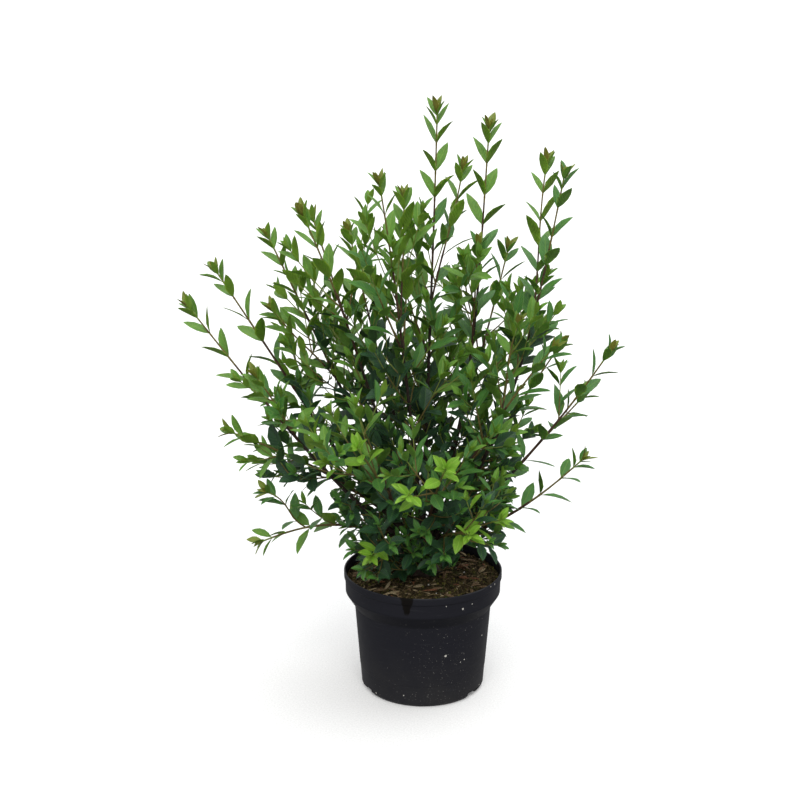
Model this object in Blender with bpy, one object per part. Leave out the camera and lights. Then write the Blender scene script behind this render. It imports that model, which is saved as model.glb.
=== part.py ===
"""A privet shrub in a nursery pot.

Metres, +Z up. The origin is the middle of the pot's flat underside, and -Y is the front.
Every shoot springs from one short stool on the compost. Its lower part is a bare, tapering
bough, and its upper part is a mass of foliage that keeps to its own share of the crown.
"""
import math
import random

import bmesh
import bpy
import numpy as np
from mathutils import Matrix, Vector
from mathutils.bvhtree import BVHTree

# Pot: radii and heights of its turned outline
RIM_RADIUS = 0.095
POT_HEIGHT = 0.1486
RIM_EDGE = 0.0008
LIP_Z = 0.139
BAND_TOP_RADIUS = 0.0936
BAND_FOOT_Z = 0.1225
BAND_FOOT_RADIUS = 0.0932
BODY_TOP_Z = 0.1055
BODY_TOP_RADIUS = 0.0823
CORNER_Z = 0.005
CORNER_RADIUS = 0.0743
FOOT_RADIUS = 0.0701
FOOT_RING_WIDTH = 0.010
HUB_RADIUS = 0.022
UNDERSIDE_RECESS = 0.003
WALL = 0.0019
FLOOR_Z = 0.009
FLOOR_RADIUS = 0.067
INNER_CORNER_RISE = 0.007
INNER_STEP = 0.001
POT_SEGMENTS = 36
POT_SHARP_ANGLE = 35.0
POT_COLOUR = (0.017, 0.017, 0.021)
POT_ROUGHNESS = 0.42

# Drain notches round the pot's bottom corner
NOTCH_ANGLES = (-33.0, -153.0, 87.0)
NOTCH_WIDTH = 0.014
NOTCH_HEIGHT = 0.0045
NOTCH_DEPTH = 0.005

# Compost
COMPOST_EDGE_Z = 0.137
COMPOST_TOP_Z = 0.146
COMPOST_LUMP = 0.0016
COMPOST_RINGS = (0.086, 0.074, 0.060, 0.046)
COMPOST_SEAT_RADIUS = 0.033
CLEARANCE = 0.0003
COMPOST_COLOUR = (0.032, 0.026, 0.012)
COMPOST_ROUGHNESS = 0.95

# Stool: a flared foot, a waist and the rounded head that the boughs spring from
STOOL_FOOT_RADIUS = 0.024
STOOL_WAIST_RADIUS = 0.0155
STOOL_WAIST_HEIGHT = 0.009
HEAD_RADIUS = 0.020
HEAD_HEIGHT = 0.026
STOOL_SEGMENTS = 16
FLARE_LOBES = 5
FLARE_DEPTH = 0.12
FOOT_STEPS = 4
HEAD_STEPS = 7
HEAD_TOP_TILT = 83.0

# Shoots: name, tip, how far the end turns up from the straight line in degrees, side tips
SHOOTS = (
    ("tall_centre", (0.014, 0.000, 0.708), 2, ((0.046, 0.028, 0.640),)),
    ("tall_right_of_centre", (0.074, 0.030, 0.685), 5, ((0.062, -0.010, 0.560),)),
    ("tall_right", (0.156, -0.030, 0.641), 9, ((0.141, 0.030, 0.647),)),
    ("tall_left_of_centre", (-0.052, -0.070, 0.638), -3, ((-0.024, -0.020, 0.616),)),
    ("left_crest", (-0.142, -0.020, 0.594), -5, ((-0.132, 0.030, 0.582),)),
    ("upper_left", (-0.187, 0.040, 0.559), 0, ((-0.181, -0.005, 0.480),)),
    ("middle_left", (-0.090, 0.070, 0.559), 3, ()),
    ("back_rise", (0.105, 0.100, 0.534), 6, ((0.050, 0.110, 0.520),)),
    ("left_reach_upper", (-0.251, 0.040, 0.517), 0, ((-0.176, 0.100, 0.440),)),
    ("left_reach", (-0.275, -0.030, 0.489), 4, ((-0.196, -0.075, 0.420),)),
    ("left_low", (-0.236, -0.040, 0.337), -12, ()),
    ("left_drooping", (-0.205, -0.030, 0.185), -30, ((-0.195, -0.055, 0.270),)),
    ("right_reach", (0.224, 0.000, 0.431), 7, ((0.205, 0.060, 0.360),)),
    ("right_low", (0.194, -0.040, 0.311), 12, ()),
    ("right_shoulder", (0.174, 0.070, 0.420), -4, ()),
    ("front_right_rise", (0.147, -0.100, 0.457), -6, ((0.107, -0.070, 0.480),)),
    ("front_left", (-0.079, -0.160, 0.361), 0, ((-0.120, -0.120, 0.330),)),
    ("front_centre", (0.023, -0.185, 0.343), -5, ((-0.023, -0.190, 0.312),)),
    ("front_low_right", (0.055, -0.160, 0.250), -12, ((0.096, -0.130, 0.262),)),
    ("front_low_left", (-0.067, -0.125, 0.205), -22, ()),
    ("back_centre", (0.010, 0.180, 0.440), 0, ((0.060, 0.170, 0.410),)),
    ("back_left", (-0.116, 0.170, 0.427), 0, ((-0.060, 0.190, 0.380),)),
    ("back_right", (0.124, 0.180, 0.415), 0, ()),
    ("back_low_left", (-0.130, 0.150, 0.285), -5, ()),
    ("back_low_right", (0.090, 0.180, 0.275), -5, ((0.150, 0.120, 0.290),)),
)
SEED = 12
PATH_STEPS = 32
START_HANDLE = 0.30
END_HANDLE = 0.35
SIDE_LEAVES_AT = 0.62
SIDE_LEAVES_BY = 0.80
SIDE_HANDLE = 0.35
SIDE_START_BEND = 0.20
SIDE_END_BEND = 0.35
SIDE_STEPS = 10
SIDE_THICKNESS = 0.80
STEEPEST_START = 89.0
LOWEST_START = 3.0
HEAD_GAP_ANGLE = 21.0
HEAD_ROUNDS = 200
PATH_APART = 0.020
PATH_APART_LOW = 0.34
PATH_ROUNDS = 60
PATH_PUSH = 0.15
PATH_SMOOTHING = 0.2
WOBBLE = 0.003
WOBBLE_WAVES = 3
LONGEST_SHOOT = 0.5

# Boughs
BOUGH_SHARE = 0.27
BOUGH_SHORTEST = 0.045
BOUGH_LONGEST = 0.120
BOUGH_THICK = 0.0031
BOUGH_THIN = 0.0022
BOUGH_SIDES = 6
BOUGH_RINGS = 4
BOUGH_SHARP_ANGLE = 50.0
BARK_COLOUR = (0.080, 0.052, 0.034)
BARK_ROUGHNESS = 0.85

# Foliage
TWIG_SIDES = 3
STEM_TIP_RADIUS = 0.0010
TWIG_RADIUS = 0.0012
TWIG_TIP_RADIUS = 0.0009
TWIG_RINGS = 2
STEM_STEP = 0.045
STEM_RINGS = 4
FORK_RINGS = 3
SIDE_FIRST_NODE = 0.028
NODE_GAP = 0.036
NODES_CLOSE_FROM = 0.5
NODES_CLOSE_BY = 0.4
FIRST_NODE = 0.018
LAST_NODE = 0.014
TERMINAL_LEAF = 0.030
TIP_REACH = 0.022
TERMINAL_NODE = 0.004
TERMINAL_SLOPE = 26.0
SMALL_LEAVES_FROM = 0.7
SMALL_LEAVES_BY = 0.42
TWIG_EVERY = 2
LEAF_LENGTH = 0.048
LEAF_WIDTH = 0.0185
LEAF_SIZES = (0.92, 1.05)
LEAF_TRIES = (1.0, 0.8, 0.64)
LEAF_WIDEST_AT = 0.36
LEAF_SHOULDER_AT = 0.68
LEAF_SHOULDER = 0.42
LEAF_RIB_TESTS = (0.3, 0.5, 0.75)
LEAF_KEEL = 0.0013
LEAF_ROOT = 0.35
LEAF_SLOPE = 48.0
LEAF_SWING = 0.14
TWIG_SLOPE = 46.0
TWIG_LENGTHS = (0.060, 0.125)
TWIG_SHORTEST = 0.7
TWIG_SHORTENING = 0.8
TWIG_RISE = 0.16
TWIG_STEPS = 3
TWIG_TESTS = (0.25, 0.4, 0.6, 0.8, 1.0)
TWIG_ZONE = 0.70
SPACE_MARGIN = 0.0016
LIMB_MARGIN = 0.0020
LIMB_TESTS = 24
OVER_POT_Z = 0.152
OUTSIDE_POT_Z = POT_HEIGHT - 0.010
RIM_KEEP_OUT = 0.100
LEAF_COLOUR = (0.060, 0.170, 0.035)
LEAF_ROUGHNESS = 0.45


def clear_scene():
    for item in list(bpy.data.objects):
        bpy.data.objects.remove(item, do_unlink=True)


def make_material(name, colour, roughness):
    material = bpy.data.materials.new(name)
    material.use_nodes = True
    shader = material.node_tree.nodes["Principled BSDF"]
    shader.inputs["Base Color"].default_value = (*colour, 1.0)
    shader.inputs["Roughness"].default_value = roughness
    return material


def make_object(name, vertices, faces, material=None):
    mesh = bpy.data.meshes.new(name)
    mesh.from_pydata([tuple(point) for point in vertices], [], faces)
    mesh.update()
    if material:
        mesh.materials.append(material)
    item = bpy.data.objects.new(name, mesh)
    bpy.context.collection.objects.link(item)
    return item


def turn(name, outline, segments, material, radius_factor=None):
    """A solid turned round Z from (radius, height) points, closed by a flat face at each end."""
    vertices = []
    for radius, height in outline:
        for step in range(segments):
            angle = 2 * math.pi * step / segments
            factor = radius_factor(angle, height) if radius_factor else 1.0
            reach = radius * factor
            vertices.append((reach * math.cos(angle), reach * math.sin(angle), height))
    faces = [tuple(reversed(range(segments)))]
    for ring in range(len(outline) - 1):
        for step in range(segments):
            after = (step + 1) % segments
            low, high = ring * segments, (ring + 1) * segments
            faces.append((low + step, low + after, high + after, high + step))
    last = (len(outline) - 1) * segments
    faces.append(tuple(last + step for step in range(segments)))
    item = make_object(name, vertices, faces, material)
    item.data.shade_smooth()
    item.data.set_sharp_from_angle(angle=math.radians(POT_SHARP_ANGLE))
    return item


# Pot and compost

def inner_outline():
    """The pot's inside from the floor's edge up to the rim."""
    return [
        (FLOOR_RADIUS, FLOOR_Z),
        (CORNER_RADIUS - WALL, FLOOR_Z + INNER_CORNER_RISE),
        (BODY_TOP_RADIUS - WALL, BODY_TOP_Z + INNER_STEP),
        (BAND_FOOT_RADIUS - WALL, BAND_FOOT_Z + INNER_STEP),
        (RIM_RADIUS - WALL, POT_HEIGHT),
    ]


def make_pot(material):
    ring_inside = FOOT_RADIUS - FOOT_RING_WIDTH
    outside = [
        (HUB_RADIUS, 0.0),
        (HUB_RADIUS + UNDERSIDE_RECESS / 2, UNDERSIDE_RECESS),
        (ring_inside - UNDERSIDE_RECESS / 2, UNDERSIDE_RECESS),
        (ring_inside, 0.0),
        (FOOT_RADIUS, 0.0),
        (CORNER_RADIUS, CORNER_Z),
        (BODY_TOP_RADIUS, BODY_TOP_Z),
        (BAND_FOOT_RADIUS, BAND_FOOT_Z),
        (BAND_TOP_RADIUS, LIP_Z),
        (RIM_RADIUS, LIP_Z + RIM_EDGE),
        (RIM_RADIUS, POT_HEIGHT - RIM_EDGE),
        (RIM_RADIUS - RIM_EDGE, POT_HEIGHT),
    ]
    pot = turn("pot", outside + inner_outline()[::-1], POT_SEGMENTS, material)
    for number, degrees in enumerate(NOTCH_ANGLES):
        cut_notch(pot, f"notch_{number}", math.radians(degrees))
    return pot


def cut_notch(pot, name, angle):
    """A drain notch: a box let into the bottom corner, open at the side and below."""
    cutter = make_object(name, *box_shape())
    cutter.matrix_world = (Matrix.Rotation(angle, 4, "Z") @ Matrix.Translation((CORNER_RADIUS, 0, 0))
                           @ Matrix.Diagonal((2 * NOTCH_DEPTH, NOTCH_WIDTH, 2 * NOTCH_HEIGHT, 1)))
    cutter.hide_render = True
    cutter.display_type = "WIRE"
    cut = pot.modifiers.new(name, "BOOLEAN")
    cut.operation = "DIFFERENCE"
    cut.object = cutter


def box_shape():
    half = 0.5
    vertices = [(x, y, z) for z in (-half, half) for y in (-half, half) for x in (-half, half)]
    faces = [(0, 2, 3, 1), (4, 5, 7, 6), (0, 1, 5, 4), (2, 6, 7, 3), (0, 4, 6, 2), (1, 3, 7, 5)]
    return vertices, faces


def inset_outline(outline, gap):
    """The outline moved in by the gap, square to each of its straight runs."""
    moved = []
    for index, (radius, height) in enumerate(outline):
        normals = []
        for a, b in ((index - 1, index), (index, index + 1)):
            if 0 <= a and b < len(outline):
                run = outline[b][0] - outline[a][0]
                rise = outline[b][1] - outline[a][1]
                length = math.hypot(run, rise)
                normals.append((-rise / length, run / length))
        across = sum(n[0] for n in normals)
        along = sum(n[1] for n in normals)
        mitre = len(normals) / (across * across + along * along)
        moved.append((radius + across * gap * mitre, height + along * gap * mitre))
    return moved


def make_compost(material):
    walls = inset_outline(inner_outline(), CLEARANCE)
    wall_low, wall_high = walls[-2], walls[-1]
    share = (COMPOST_EDGE_Z - wall_low[1]) / (wall_high[1] - wall_low[1])
    edge_radius = wall_low[0] + share * (wall_high[0] - wall_low[0])
    sides = [(walls[0][0], FLOOR_Z + CLEARANCE)] + walls[1:-1] + [(edge_radius, COMPOST_EDGE_Z)]
    rise = COMPOST_TOP_Z - COMPOST_EDGE_Z
    top = []
    for radius in COMPOST_RINGS:
        slope = (edge_radius - radius) / (edge_radius - COMPOST_SEAT_RADIUS)
        top.append((radius, COMPOST_EDGE_Z + rise * slope))
    top.append((COMPOST_SEAT_RADIUS, COMPOST_TOP_Z))
    compost = turn("compost", sides + top, POT_SEGMENTS, material)
    dice = random.Random(SEED)
    first = len(sides) * POT_SEGMENTS
    for vertex in compost.data.vertices[first:first + len(COMPOST_RINGS) * POT_SEGMENTS]:
        vertex.co.z += dice.uniform(-COMPOST_LUMP, COMPOST_LUMP)
    return compost


# Stool

def head_centre():
    return Vector((0, 0, COMPOST_TOP_Z + CLEARANCE + HEAD_HEIGHT))


def flare(angle, height):
    """Root flare: lobes at the foot that fade out towards the waist."""
    rise = (height - COMPOST_TOP_Z - CLEARANCE) / STOOL_WAIST_HEIGHT
    fade = max(0.0, 1.0 - rise)
    return 1.0 + FLARE_DEPTH * fade * math.cos(FLARE_LOBES * angle)


def make_stem(material):
    base = COMPOST_TOP_Z + CLEARANCE
    outline = []
    for step in range(FOOT_STEPS):
        share = step / FOOT_STEPS
        spread = (1.0 - share) ** 2
        radius = STOOL_WAIST_RADIUS + (STOOL_FOOT_RADIUS - STOOL_WAIST_RADIUS) * spread
        outline.append((radius, base + STOOL_WAIST_HEIGHT * share))
    lowest = -math.acos(STOOL_WAIST_RADIUS / HEAD_RADIUS)
    highest = math.radians(HEAD_TOP_TILT)
    for step in range(HEAD_STEPS + 1):
        tilt = lowest + (highest - lowest) * step / HEAD_STEPS
        outline.append((HEAD_RADIUS * math.cos(tilt), head_centre().z + HEAD_RADIUS * math.sin(tilt)))
    return turn("stem", outline, STOOL_SEGMENTS, material, flare)


# Courses of the shoots

def raised(direction, degrees):
    """The direction tilted up by an angle, within its own upright plane."""
    level = math.hypot(direction.x, direction.y)
    elevation = math.atan2(direction.z, level) + math.radians(degrees)
    elevation = min(elevation, math.radians(STEEPEST_START))
    heading = math.atan2(direction.y, direction.x)
    return Vector((math.cos(elevation) * math.cos(heading),
                   math.cos(elevation) * math.sin(heading), math.sin(elevation)))


def head_directions():
    """Where each bough leaves the head: towards its tip, then spread evenly apart."""
    lowest = math.sin(math.radians(LOWEST_START))
    directions = []
    for _, tip, lift, _ in SHOOTS:
        directions.append(raised(Vector(tip) - head_centre(), -lift))
    for _ in range(HEAD_ROUNDS):
        for a, first in enumerate(directions):
            for b in range(a):
                second = directions[b]
                angle = first.angle(second)
                lacking = math.radians(HEAD_GAP_ANGLE) - angle
                if lacking > 0:
                    push = (first - second).normalized() * lacking / 2
                    first = (first + push).normalized()
                    directions[b] = (second - push).normalized()
            directions[a] = first
        for index, direction in enumerate(directions):
            if direction.z < lowest:
                direction.z = lowest
                directions[index] = direction.normalized()
    return directions


def bezier(points, steps):
    course = []
    for step in range(steps + 1):
        t = step / steps
        u = 1 - t
        course.append(points[0] * u ** 3 + points[1] * 3 * u * u * t
                      + points[2] * 3 * u * t * t + points[3] * t ** 3)
    return course


def shoot_courses():
    """One smooth course for each shoot, from the head to just short of its tip."""
    dice = random.Random(SEED)
    courses = []
    for (_, tip, lift, _), direction in zip(SHOOTS, head_directions()):
        start = head_centre() + direction * (HEAD_RADIUS + CLEARANCE)
        straight = Vector(tip) - start
        length = straight.length
        ending = raised(straight, lift)
        end = Vector(tip) - ending * TIP_REACH
        control = [start, start + direction * length * START_HANDLE,
                   end - ending * length * END_HANDLE, end]
        course = bezier(control, PATH_STEPS)
        side = ending.cross(Vector((0.3, 1, 0.2))).normalized()
        sway = side * dice.uniform(-1, 1) * WOBBLE
        for step, point in enumerate(course):
            share = step / PATH_STEPS
            course[step] = point + sway * math.sin(WOBBLE_WAVES * math.pi * share) * share
        courses.append(course)
    return spread_courses(courses)


def spread_courses(courses):
    """Courses that pass too near each other are moved apart, with their ends kept."""
    points = np.array([[tuple(p) for p in course] for course in courses])
    count, steps = points.shape[:2]
    owner = np.repeat(np.arange(count), steps)
    middle = np.array(head_centre())
    for _ in range(PATH_ROUNDS):
        flat = points.reshape(-1, 3)
        offset = flat[:, None, :] - flat[None, :, :]
        distance = np.linalg.norm(offset, axis=2)
        reach = np.linalg.norm(flat - middle, axis=1)
        wanted = np.minimum(PATH_APART, PATH_APART_LOW * np.minimum(reach[:, None], reach[None, :]))
        lacking = np.clip(wanted - distance, 0, None)
        lacking[owner[:, None] == owner[None, :]] = 0
        push = (offset / (distance[:, :, None] + 1e-9) * lacking[:, :, None]).sum(axis=1)
        push = push.reshape(points.shape) * PATH_PUSH
        push[:, 0] = 0
        push[:, 1] = 0
        push[:, -1] = 0
        points = points + push
        beside = points[:, 1:-2] + points[:, 3:]
        points[:, 2:-1] = points[:, 2:-1] * (1 - 2 * PATH_SMOOTHING) + beside * PATH_SMOOTHING
    return [thickened(Course(course)) for course in points]


class Course:
    """A line of points that can be read at any distance along it, with its limb's radii."""

    def __init__(self, points, thick=0.0, thin=0.0):
        self.points = [Vector(point) for point in points]
        self.thick = thick
        self.thin = thin
        self.marks = [0.0]
        for before, after in zip(self.points, self.points[1:]):
            self.marks.append(self.marks[-1] + (after - before).length)
        self.length = self.marks[-1]

    def place(self, distance):
        distance = min(max(distance, 0.0), self.length)
        for index in range(1, len(self.marks)):
            if distance <= self.marks[index]:
                break
        run = self.marks[index] - self.marks[index - 1]
        share = (distance - self.marks[index - 1]) / run
        return self.points[index - 1].lerp(self.points[index], share)

    def radius(self, distance):
        return self.thick + (self.thin - self.thick) * distance / self.length

    def direction(self, distance):
        step = 0.004
        ahead = self.place(distance + step)
        behind = self.place(distance - step)
        return (ahead - behind).normalized()

    def piece(self, start, end, count):
        return [self.place(start + (end - start) * step / count) for step in range(count + 1)]


def bough_length(course):
    return min(max(course.length * BOUGH_SHARE, BOUGH_SHORTEST), BOUGH_LONGEST)


def thickened(course):
    """A shoot is the thicker the longer it is, and tapers evenly to its tip."""
    size = min(1.0, course.length / LONGEST_SHOOT)
    course.thick = BOUGH_THIN + (BOUGH_THICK - BOUGH_THIN) * size
    course.thin = STEM_TIP_RADIUS
    return course


# Tubes and leaves

def square_to(direction, hint=None):
    """Two directions square to the given one and to each other."""
    hint = hint or Vector((0, 0, 1))
    if abs(direction.dot(hint)) > 0.95:
        hint = Vector((1, 0, 0))
    first = hint.cross(direction).normalized()
    second = direction.cross(first).normalized()
    return first, second


def tube_shape(points, radii, sides, first_normal=None):
    """A closed tube along the points, whose first ring is square to first_normal if given."""
    vertices, faces = [], []
    hint = None
    for index, point in enumerate(points):
        before = points[max(index - 1, 0)]
        after = points[min(index + 1, len(points) - 1)]
        direction = (after - before).normalized()
        if index == 0 and first_normal:
            direction = first_normal
        across, up = square_to(direction, hint)
        hint = up
        for side in range(sides):
            angle = 2 * math.pi * side / sides
            vertices.append(point + (across * math.cos(angle) + up * math.sin(angle)) * radii[index])
    for ring in range(len(points) - 1):
        for side in range(sides):
            after = (side + 1) % sides
            low, high = ring * sides, (ring + 1) * sides
            faces.append((low + side, low + after, high + after, high + side))
    faces.append(tuple(reversed(range(sides))))
    last = (len(points) - 1) * sides
    faces.append(tuple(last + side for side in range(sides)))
    return vertices, faces


def leaf_points(root, direction, face, length, width):
    """A leaf's root, tip and four edge points. Its blade is keeled along the middle."""
    side = face.cross(direction).normalized()
    up = direction.cross(side).normalized()
    keel = LEAF_KEEL * length / LEAF_LENGTH
    wide = side * width / 2
    narrow = side * width * LEAF_SHOULDER
    middle = root + direction * length * LEAF_WIDEST_AT + up * keel
    shoulder = root + direction * length * LEAF_SHOULDER_AT + up * keel
    tip = root + direction * length
    return [root, middle + wide, shoulder + narrow, tip, shoulder - narrow, middle - wide]


LEAF_FACES = [(0, 5, 1), (1, 5, 4), (1, 4, 2), (2, 4, 3),
              (0, 1, 3), (1, 2, 3), (0, 3, 5), (3, 4, 5)]


def make_boughs(courses, material):
    for (name, _, _, _), course in zip(SHOOTS, courses):
        length = bough_length(course)
        points = course.piece(0.0, length, BOUGH_RINGS - 1)
        radii = [course.radius(length * step / (BOUGH_RINGS - 1)) for step in range(BOUGH_RINGS)]
        springing = (points[0] - head_centre()).normalized()
        vertices, faces = tube_shape(points, radii, BOUGH_SIDES, springing)
        bough = make_object("bough_" + name, vertices, faces, material)
        bough.data.shade_smooth()
        bough.data.set_sharp_from_angle(angle=math.radians(BOUGH_SHARP_ANGLE))


class Crown:
    """The crown's space, shared out between the shoots: each point goes to its nearest one."""

    def __init__(self, courses):
        self.lines = []
        for (_, _, _, side_tips), course in zip(SHOOTS, courses):
            lines = [np.array([tuple(p) for p in course.points])]
            for tip in side_tips:
                side = side_course(course, Vector(tip))
                lines.append(np.array([tuple(p) for p in side.points]))
            self.lines.append(np.concatenate(lines))
        self.limbs = []
        for course in courses:
            points = course.piece(0.0, bough_length(course), LIMB_TESTS)
            self.limbs.append((np.array([tuple(p) for p in points]), course.thick))
        self.centre = np.array(head_centre())

    def holds(self, owner, points):
        """Whether every point is in the owner's share, and clear of limbs, pot and compost."""
        points = np.array([tuple(p) for p in points])
        level = np.hypot(points[:, 0], points[:, 1])
        if np.any((level < RIM_KEEP_OUT) & (points[:, 2] < OVER_POT_Z)):
            return False
        if np.any(points[:, 2] < OUTSIDE_POT_Z):
            return False
        if np.any(np.linalg.norm(points - self.centre, axis=1) < HEAD_RADIUS + LIMB_MARGIN):
            return False
        own = nearest(points, self.lines[owner])
        for index, line in enumerate(self.lines):
            if index != owner and np.any(nearest(points, line) < own + SPACE_MARGIN):
                return False
        for line, radius in self.limbs:
            if np.any(nearest(points, line) < radius + LIMB_MARGIN):
                return False
        return True


def leaf_tests(points):
    """Points all over a leaf that have to lie in its shoot's space."""
    root, tip = points[0], points[3]
    tests = points[1:] + [root.lerp(tip, share) for share in LEAF_RIB_TESTS]
    tests += [points[1].lerp(points[2], 0.5), points[4].lerp(points[5], 0.5)]
    return tests + [tip.lerp(points[2], 0.5), tip.lerp(points[4], 0.5)]


def leaf_nodes(course, start, dice):
    """Where a twig's leaf pairs sit, and which way each one faces."""
    nodes = []
    distance = start
    angle = dice.uniform(0, math.pi)
    while distance < course.length - LAST_NODE:
        nodes.append((distance, angle))
        share = distance / course.length
        distance += NODE_GAP * (1 - NODES_CLOSE_BY * max(0.0, share - NODES_CLOSE_FROM))
        angle += math.pi / 2
    return nodes


def nearest(points, line):
    gap = np.linalg.norm(points[:, None, :] - line[None, :, :], axis=2)
    return gap.min(axis=1)


def side_course(course, tip):
    """The way from a shoot to one of its side tips, leaving it part of the way up."""
    reach = (tip - course.points[0]).length
    fork = min(reach * SIDE_LEAVES_AT, course.length * SIDE_LEAVES_BY)
    fork = max(fork, bough_length(course) + FIRST_NODE)
    start = course.place(fork)
    along = course.direction(fork)
    straight = tip - start
    ending = straight.normalized().lerp(along, SIDE_END_BEND).normalized()
    end = tip - ending * TIP_REACH
    leaving = straight.normalized().lerp(along, SIDE_START_BEND).normalized()
    handle = straight.length * SIDE_HANDLE
    control = [start, start + leaving * handle, end - ending * handle, end]
    return Course(bezier(control, SIDE_STEPS), course.radius(fork) * SIDE_THICKNESS, STEM_TIP_RADIUS)


class Mass:
    """The twigs and leaves of one shoot, all joined into one solid."""

    def __init__(self, owner, course, crown, dice):
        self.owner = owner
        self.course = course
        self.crown = crown
        self.dice = dice
        self.shapes = []
        self.trees = []

    def add(self, shape):
        self.shapes.append(shape)
        self.trees.append(BVHTree.FromPolygons(*shape))

    def crosses(self, shape, beside):
        """Whether a shape cuts one that is already there, apart from those it sits beside."""
        tree = BVHTree.FromPolygons(*shape)
        return any(other.overlap(tree) for number, other in enumerate(self.trees)
                   if number not in beside)

    def twig(self, course, start, count):
        """A three-sided twig along a course, from a distance along it to its end."""
        points = course.piece(start, course.length, count)
        radii = [course.radius(start + (course.length - start) * step / count)
                 for step in range(count + 1)]
        self.add(tube_shape(points, radii, TWIG_SIDES))
        return len(self.shapes) - 1

    def leaf(self, beside, root, direction, face, size):
        """One leaf, tried at full size and then smaller, and left out where none fits."""
        for part_size in LEAF_TRIES:
            length = LEAF_LENGTH * size * part_size
            points = leaf_points(root, direction, face, length, LEAF_WIDTH * size * part_size)
            shape = (points, LEAF_FACES)
            if self.crown.holds(self.owner, leaf_tests(points)) and not self.crosses(shape, beside):
                self.add(shape)
                beside.append(len(self.shapes) - 1)
                return

    def pair(self, own, course, distance, turn_angle, size, slope):
        """Two opposite leaves at one node of a twig."""
        along = course.direction(distance)
        root = course.place(distance)
        across, up = square_to(along)
        sunk = course.radius(distance) * LEAF_ROOT
        beside = [own]
        for side in (0, math.pi):
            angle = turn_angle + side + self.dice.uniform(-LEAF_SWING, LEAF_SWING)
            tilt = slope + self.dice.uniform(-LEAF_SWING, LEAF_SWING)
            out = across * math.cos(angle) + up * math.sin(angle)
            direction = (along * math.cos(tilt) + out * math.sin(tilt)).normalized()
            face = (along * math.sin(tilt) - out * math.cos(tilt)).normalized()
            self.leaf(beside, root - direction * sunk, direction, face, size)

    def dress(self, own, course, start, skip=()):
        """Leaf pairs along a twig, each turned a quarter from the last, and two at its tip."""
        for number, (distance, angle) in enumerate(leaf_nodes(course, start, self.dice)):
            if number in skip:
                continue
            share = distance / course.length
            shrink = max(0.0, share - SMALL_LEAVES_FROM) / (1 - SMALL_LEAVES_FROM)
            size = (1 - SMALL_LEAVES_BY * shrink) * self.dice.uniform(*LEAF_SIZES)
            self.pair(own, course, distance, angle, size, math.radians(LEAF_SLOPE))
        tip_size = TERMINAL_LEAF / LEAF_LENGTH
        self.pair(own, course, course.length - TERMINAL_NODE, 0.0, tip_size,
                  math.radians(TERMINAL_SLOPE))

    def side_twig(self, course, distance, angle):
        """A side twig: it leaves at a slope, turns up a little, and is as long as fits."""
        along = course.direction(distance)
        root = course.place(distance)
        across, up = square_to(along)
        out = across * math.cos(angle) + up * math.sin(angle)
        slope = math.radians(TWIG_SLOPE)
        direction = (along * math.cos(slope) + out * math.sin(slope)).normalized()
        length = self.dice.uniform(*TWIG_LENGTHS)
        while length > TWIG_LENGTHS[0] * TWIG_SHORTEST:
            rise = Vector((0, 0, length * TWIG_RISE))
            control = [root, root + direction * length * 0.35,
                       root + direction * length * 0.7 + rise * 0.3, root + direction * length + rise]
            twig = Course(bezier(control, TWIG_STEPS), TWIG_RADIUS, TWIG_TIP_RADIUS)
            tests = [twig.place(length * share) for share in TWIG_TESTS]
            if self.crown.holds(self.owner, tests):
                return self.twig(twig, 0.0, TWIG_RINGS), twig
            length *= TWIG_SHORTENING
        return None

    def grow(self, side_tips):
        """The stem, its forks and side twigs first, then the leaves on each."""
        course = self.course
        start = bough_length(course) + CLEARANCE
        stem = self.twig(course, start, max(STEM_RINGS, round((course.length - start) / STEM_STEP)))
        twigs = []
        for tip in side_tips:
            side = side_course(course, Vector(tip))
            twigs.append((self.twig(side, 0.0, max(FORK_RINGS, round(side.length / STEM_STEP))), side))
        state = self.dice.getstate()
        forked = []
        for number, (distance, angle) in enumerate(leaf_nodes(course, start + FIRST_NODE, self.dice)):
            if distance < course.length * TWIG_ZONE and number % TWIG_EVERY == 0:
                forked.append(number)
                for side in (0, math.pi):
                    twigs.append(self.side_twig(course, distance, angle + side))
        self.dice.setstate(state)
        self.dress(stem, course, start + FIRST_NODE, forked)
        for grown in twigs:
            if grown:
                self.dress(*grown, SIDE_FIRST_NODE)

    def join(self, name, material):
        """The shapes fused by one Boolean union."""
        vertices, faces = self.shapes[0]
        body = make_object(name, vertices, faces, material)
        others = bpy.data.collections.new(name + "_shapes")
        for number, (vertices, faces) in enumerate(self.shapes[1:]):
            piece = make_object(f"{name}_{number}", vertices, faces)
            bpy.context.collection.objects.unlink(piece)
            others.objects.link(piece)
        bpy.context.scene.collection.children.link(others)
        union = body.modifiers.new("union", "BOOLEAN")
        union.operation = "UNION"
        union.operand_type = "COLLECTION"
        union.collection = others
        union.solver = "MANIFOLD"
        graph = bpy.context.evaluated_depsgraph_get()
        fused = bpy.data.meshes.new_from_object(body.evaluated_get(graph))
        body.modifiers.clear()
        body.data = fused
        for piece in list(others.objects):
            bpy.data.objects.remove(piece, do_unlink=True)
        bpy.data.collections.remove(others)
        keep_main_shell(body.data)


def keep_main_shell(mesh):
    """Drops every loose scrap and sealed hollow."""
    shell = bmesh.new()
    shell.from_mesh(mesh)
    bmesh.ops.triangulate(shell, faces=shell.faces)
    groups = []
    waiting = set(shell.faces)
    while waiting:
        front = [waiting.pop()]
        group = set(front)
        while front:
            for edge in front.pop().edges:
                beside = edge.link_faces if len(edge.link_faces) == 2 else ()
                for face in beside:
                    if face not in group:
                        group.add(face)
                        front.append(face)
        waiting -= group
        groups.append(group)
    groups.sort(key=len)
    loose = [face for group in groups[:-1] for face in group]
    bmesh.ops.delete(shell, geom=loose, context="FACES")
    shell.to_mesh(mesh)
    shell.free()


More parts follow.
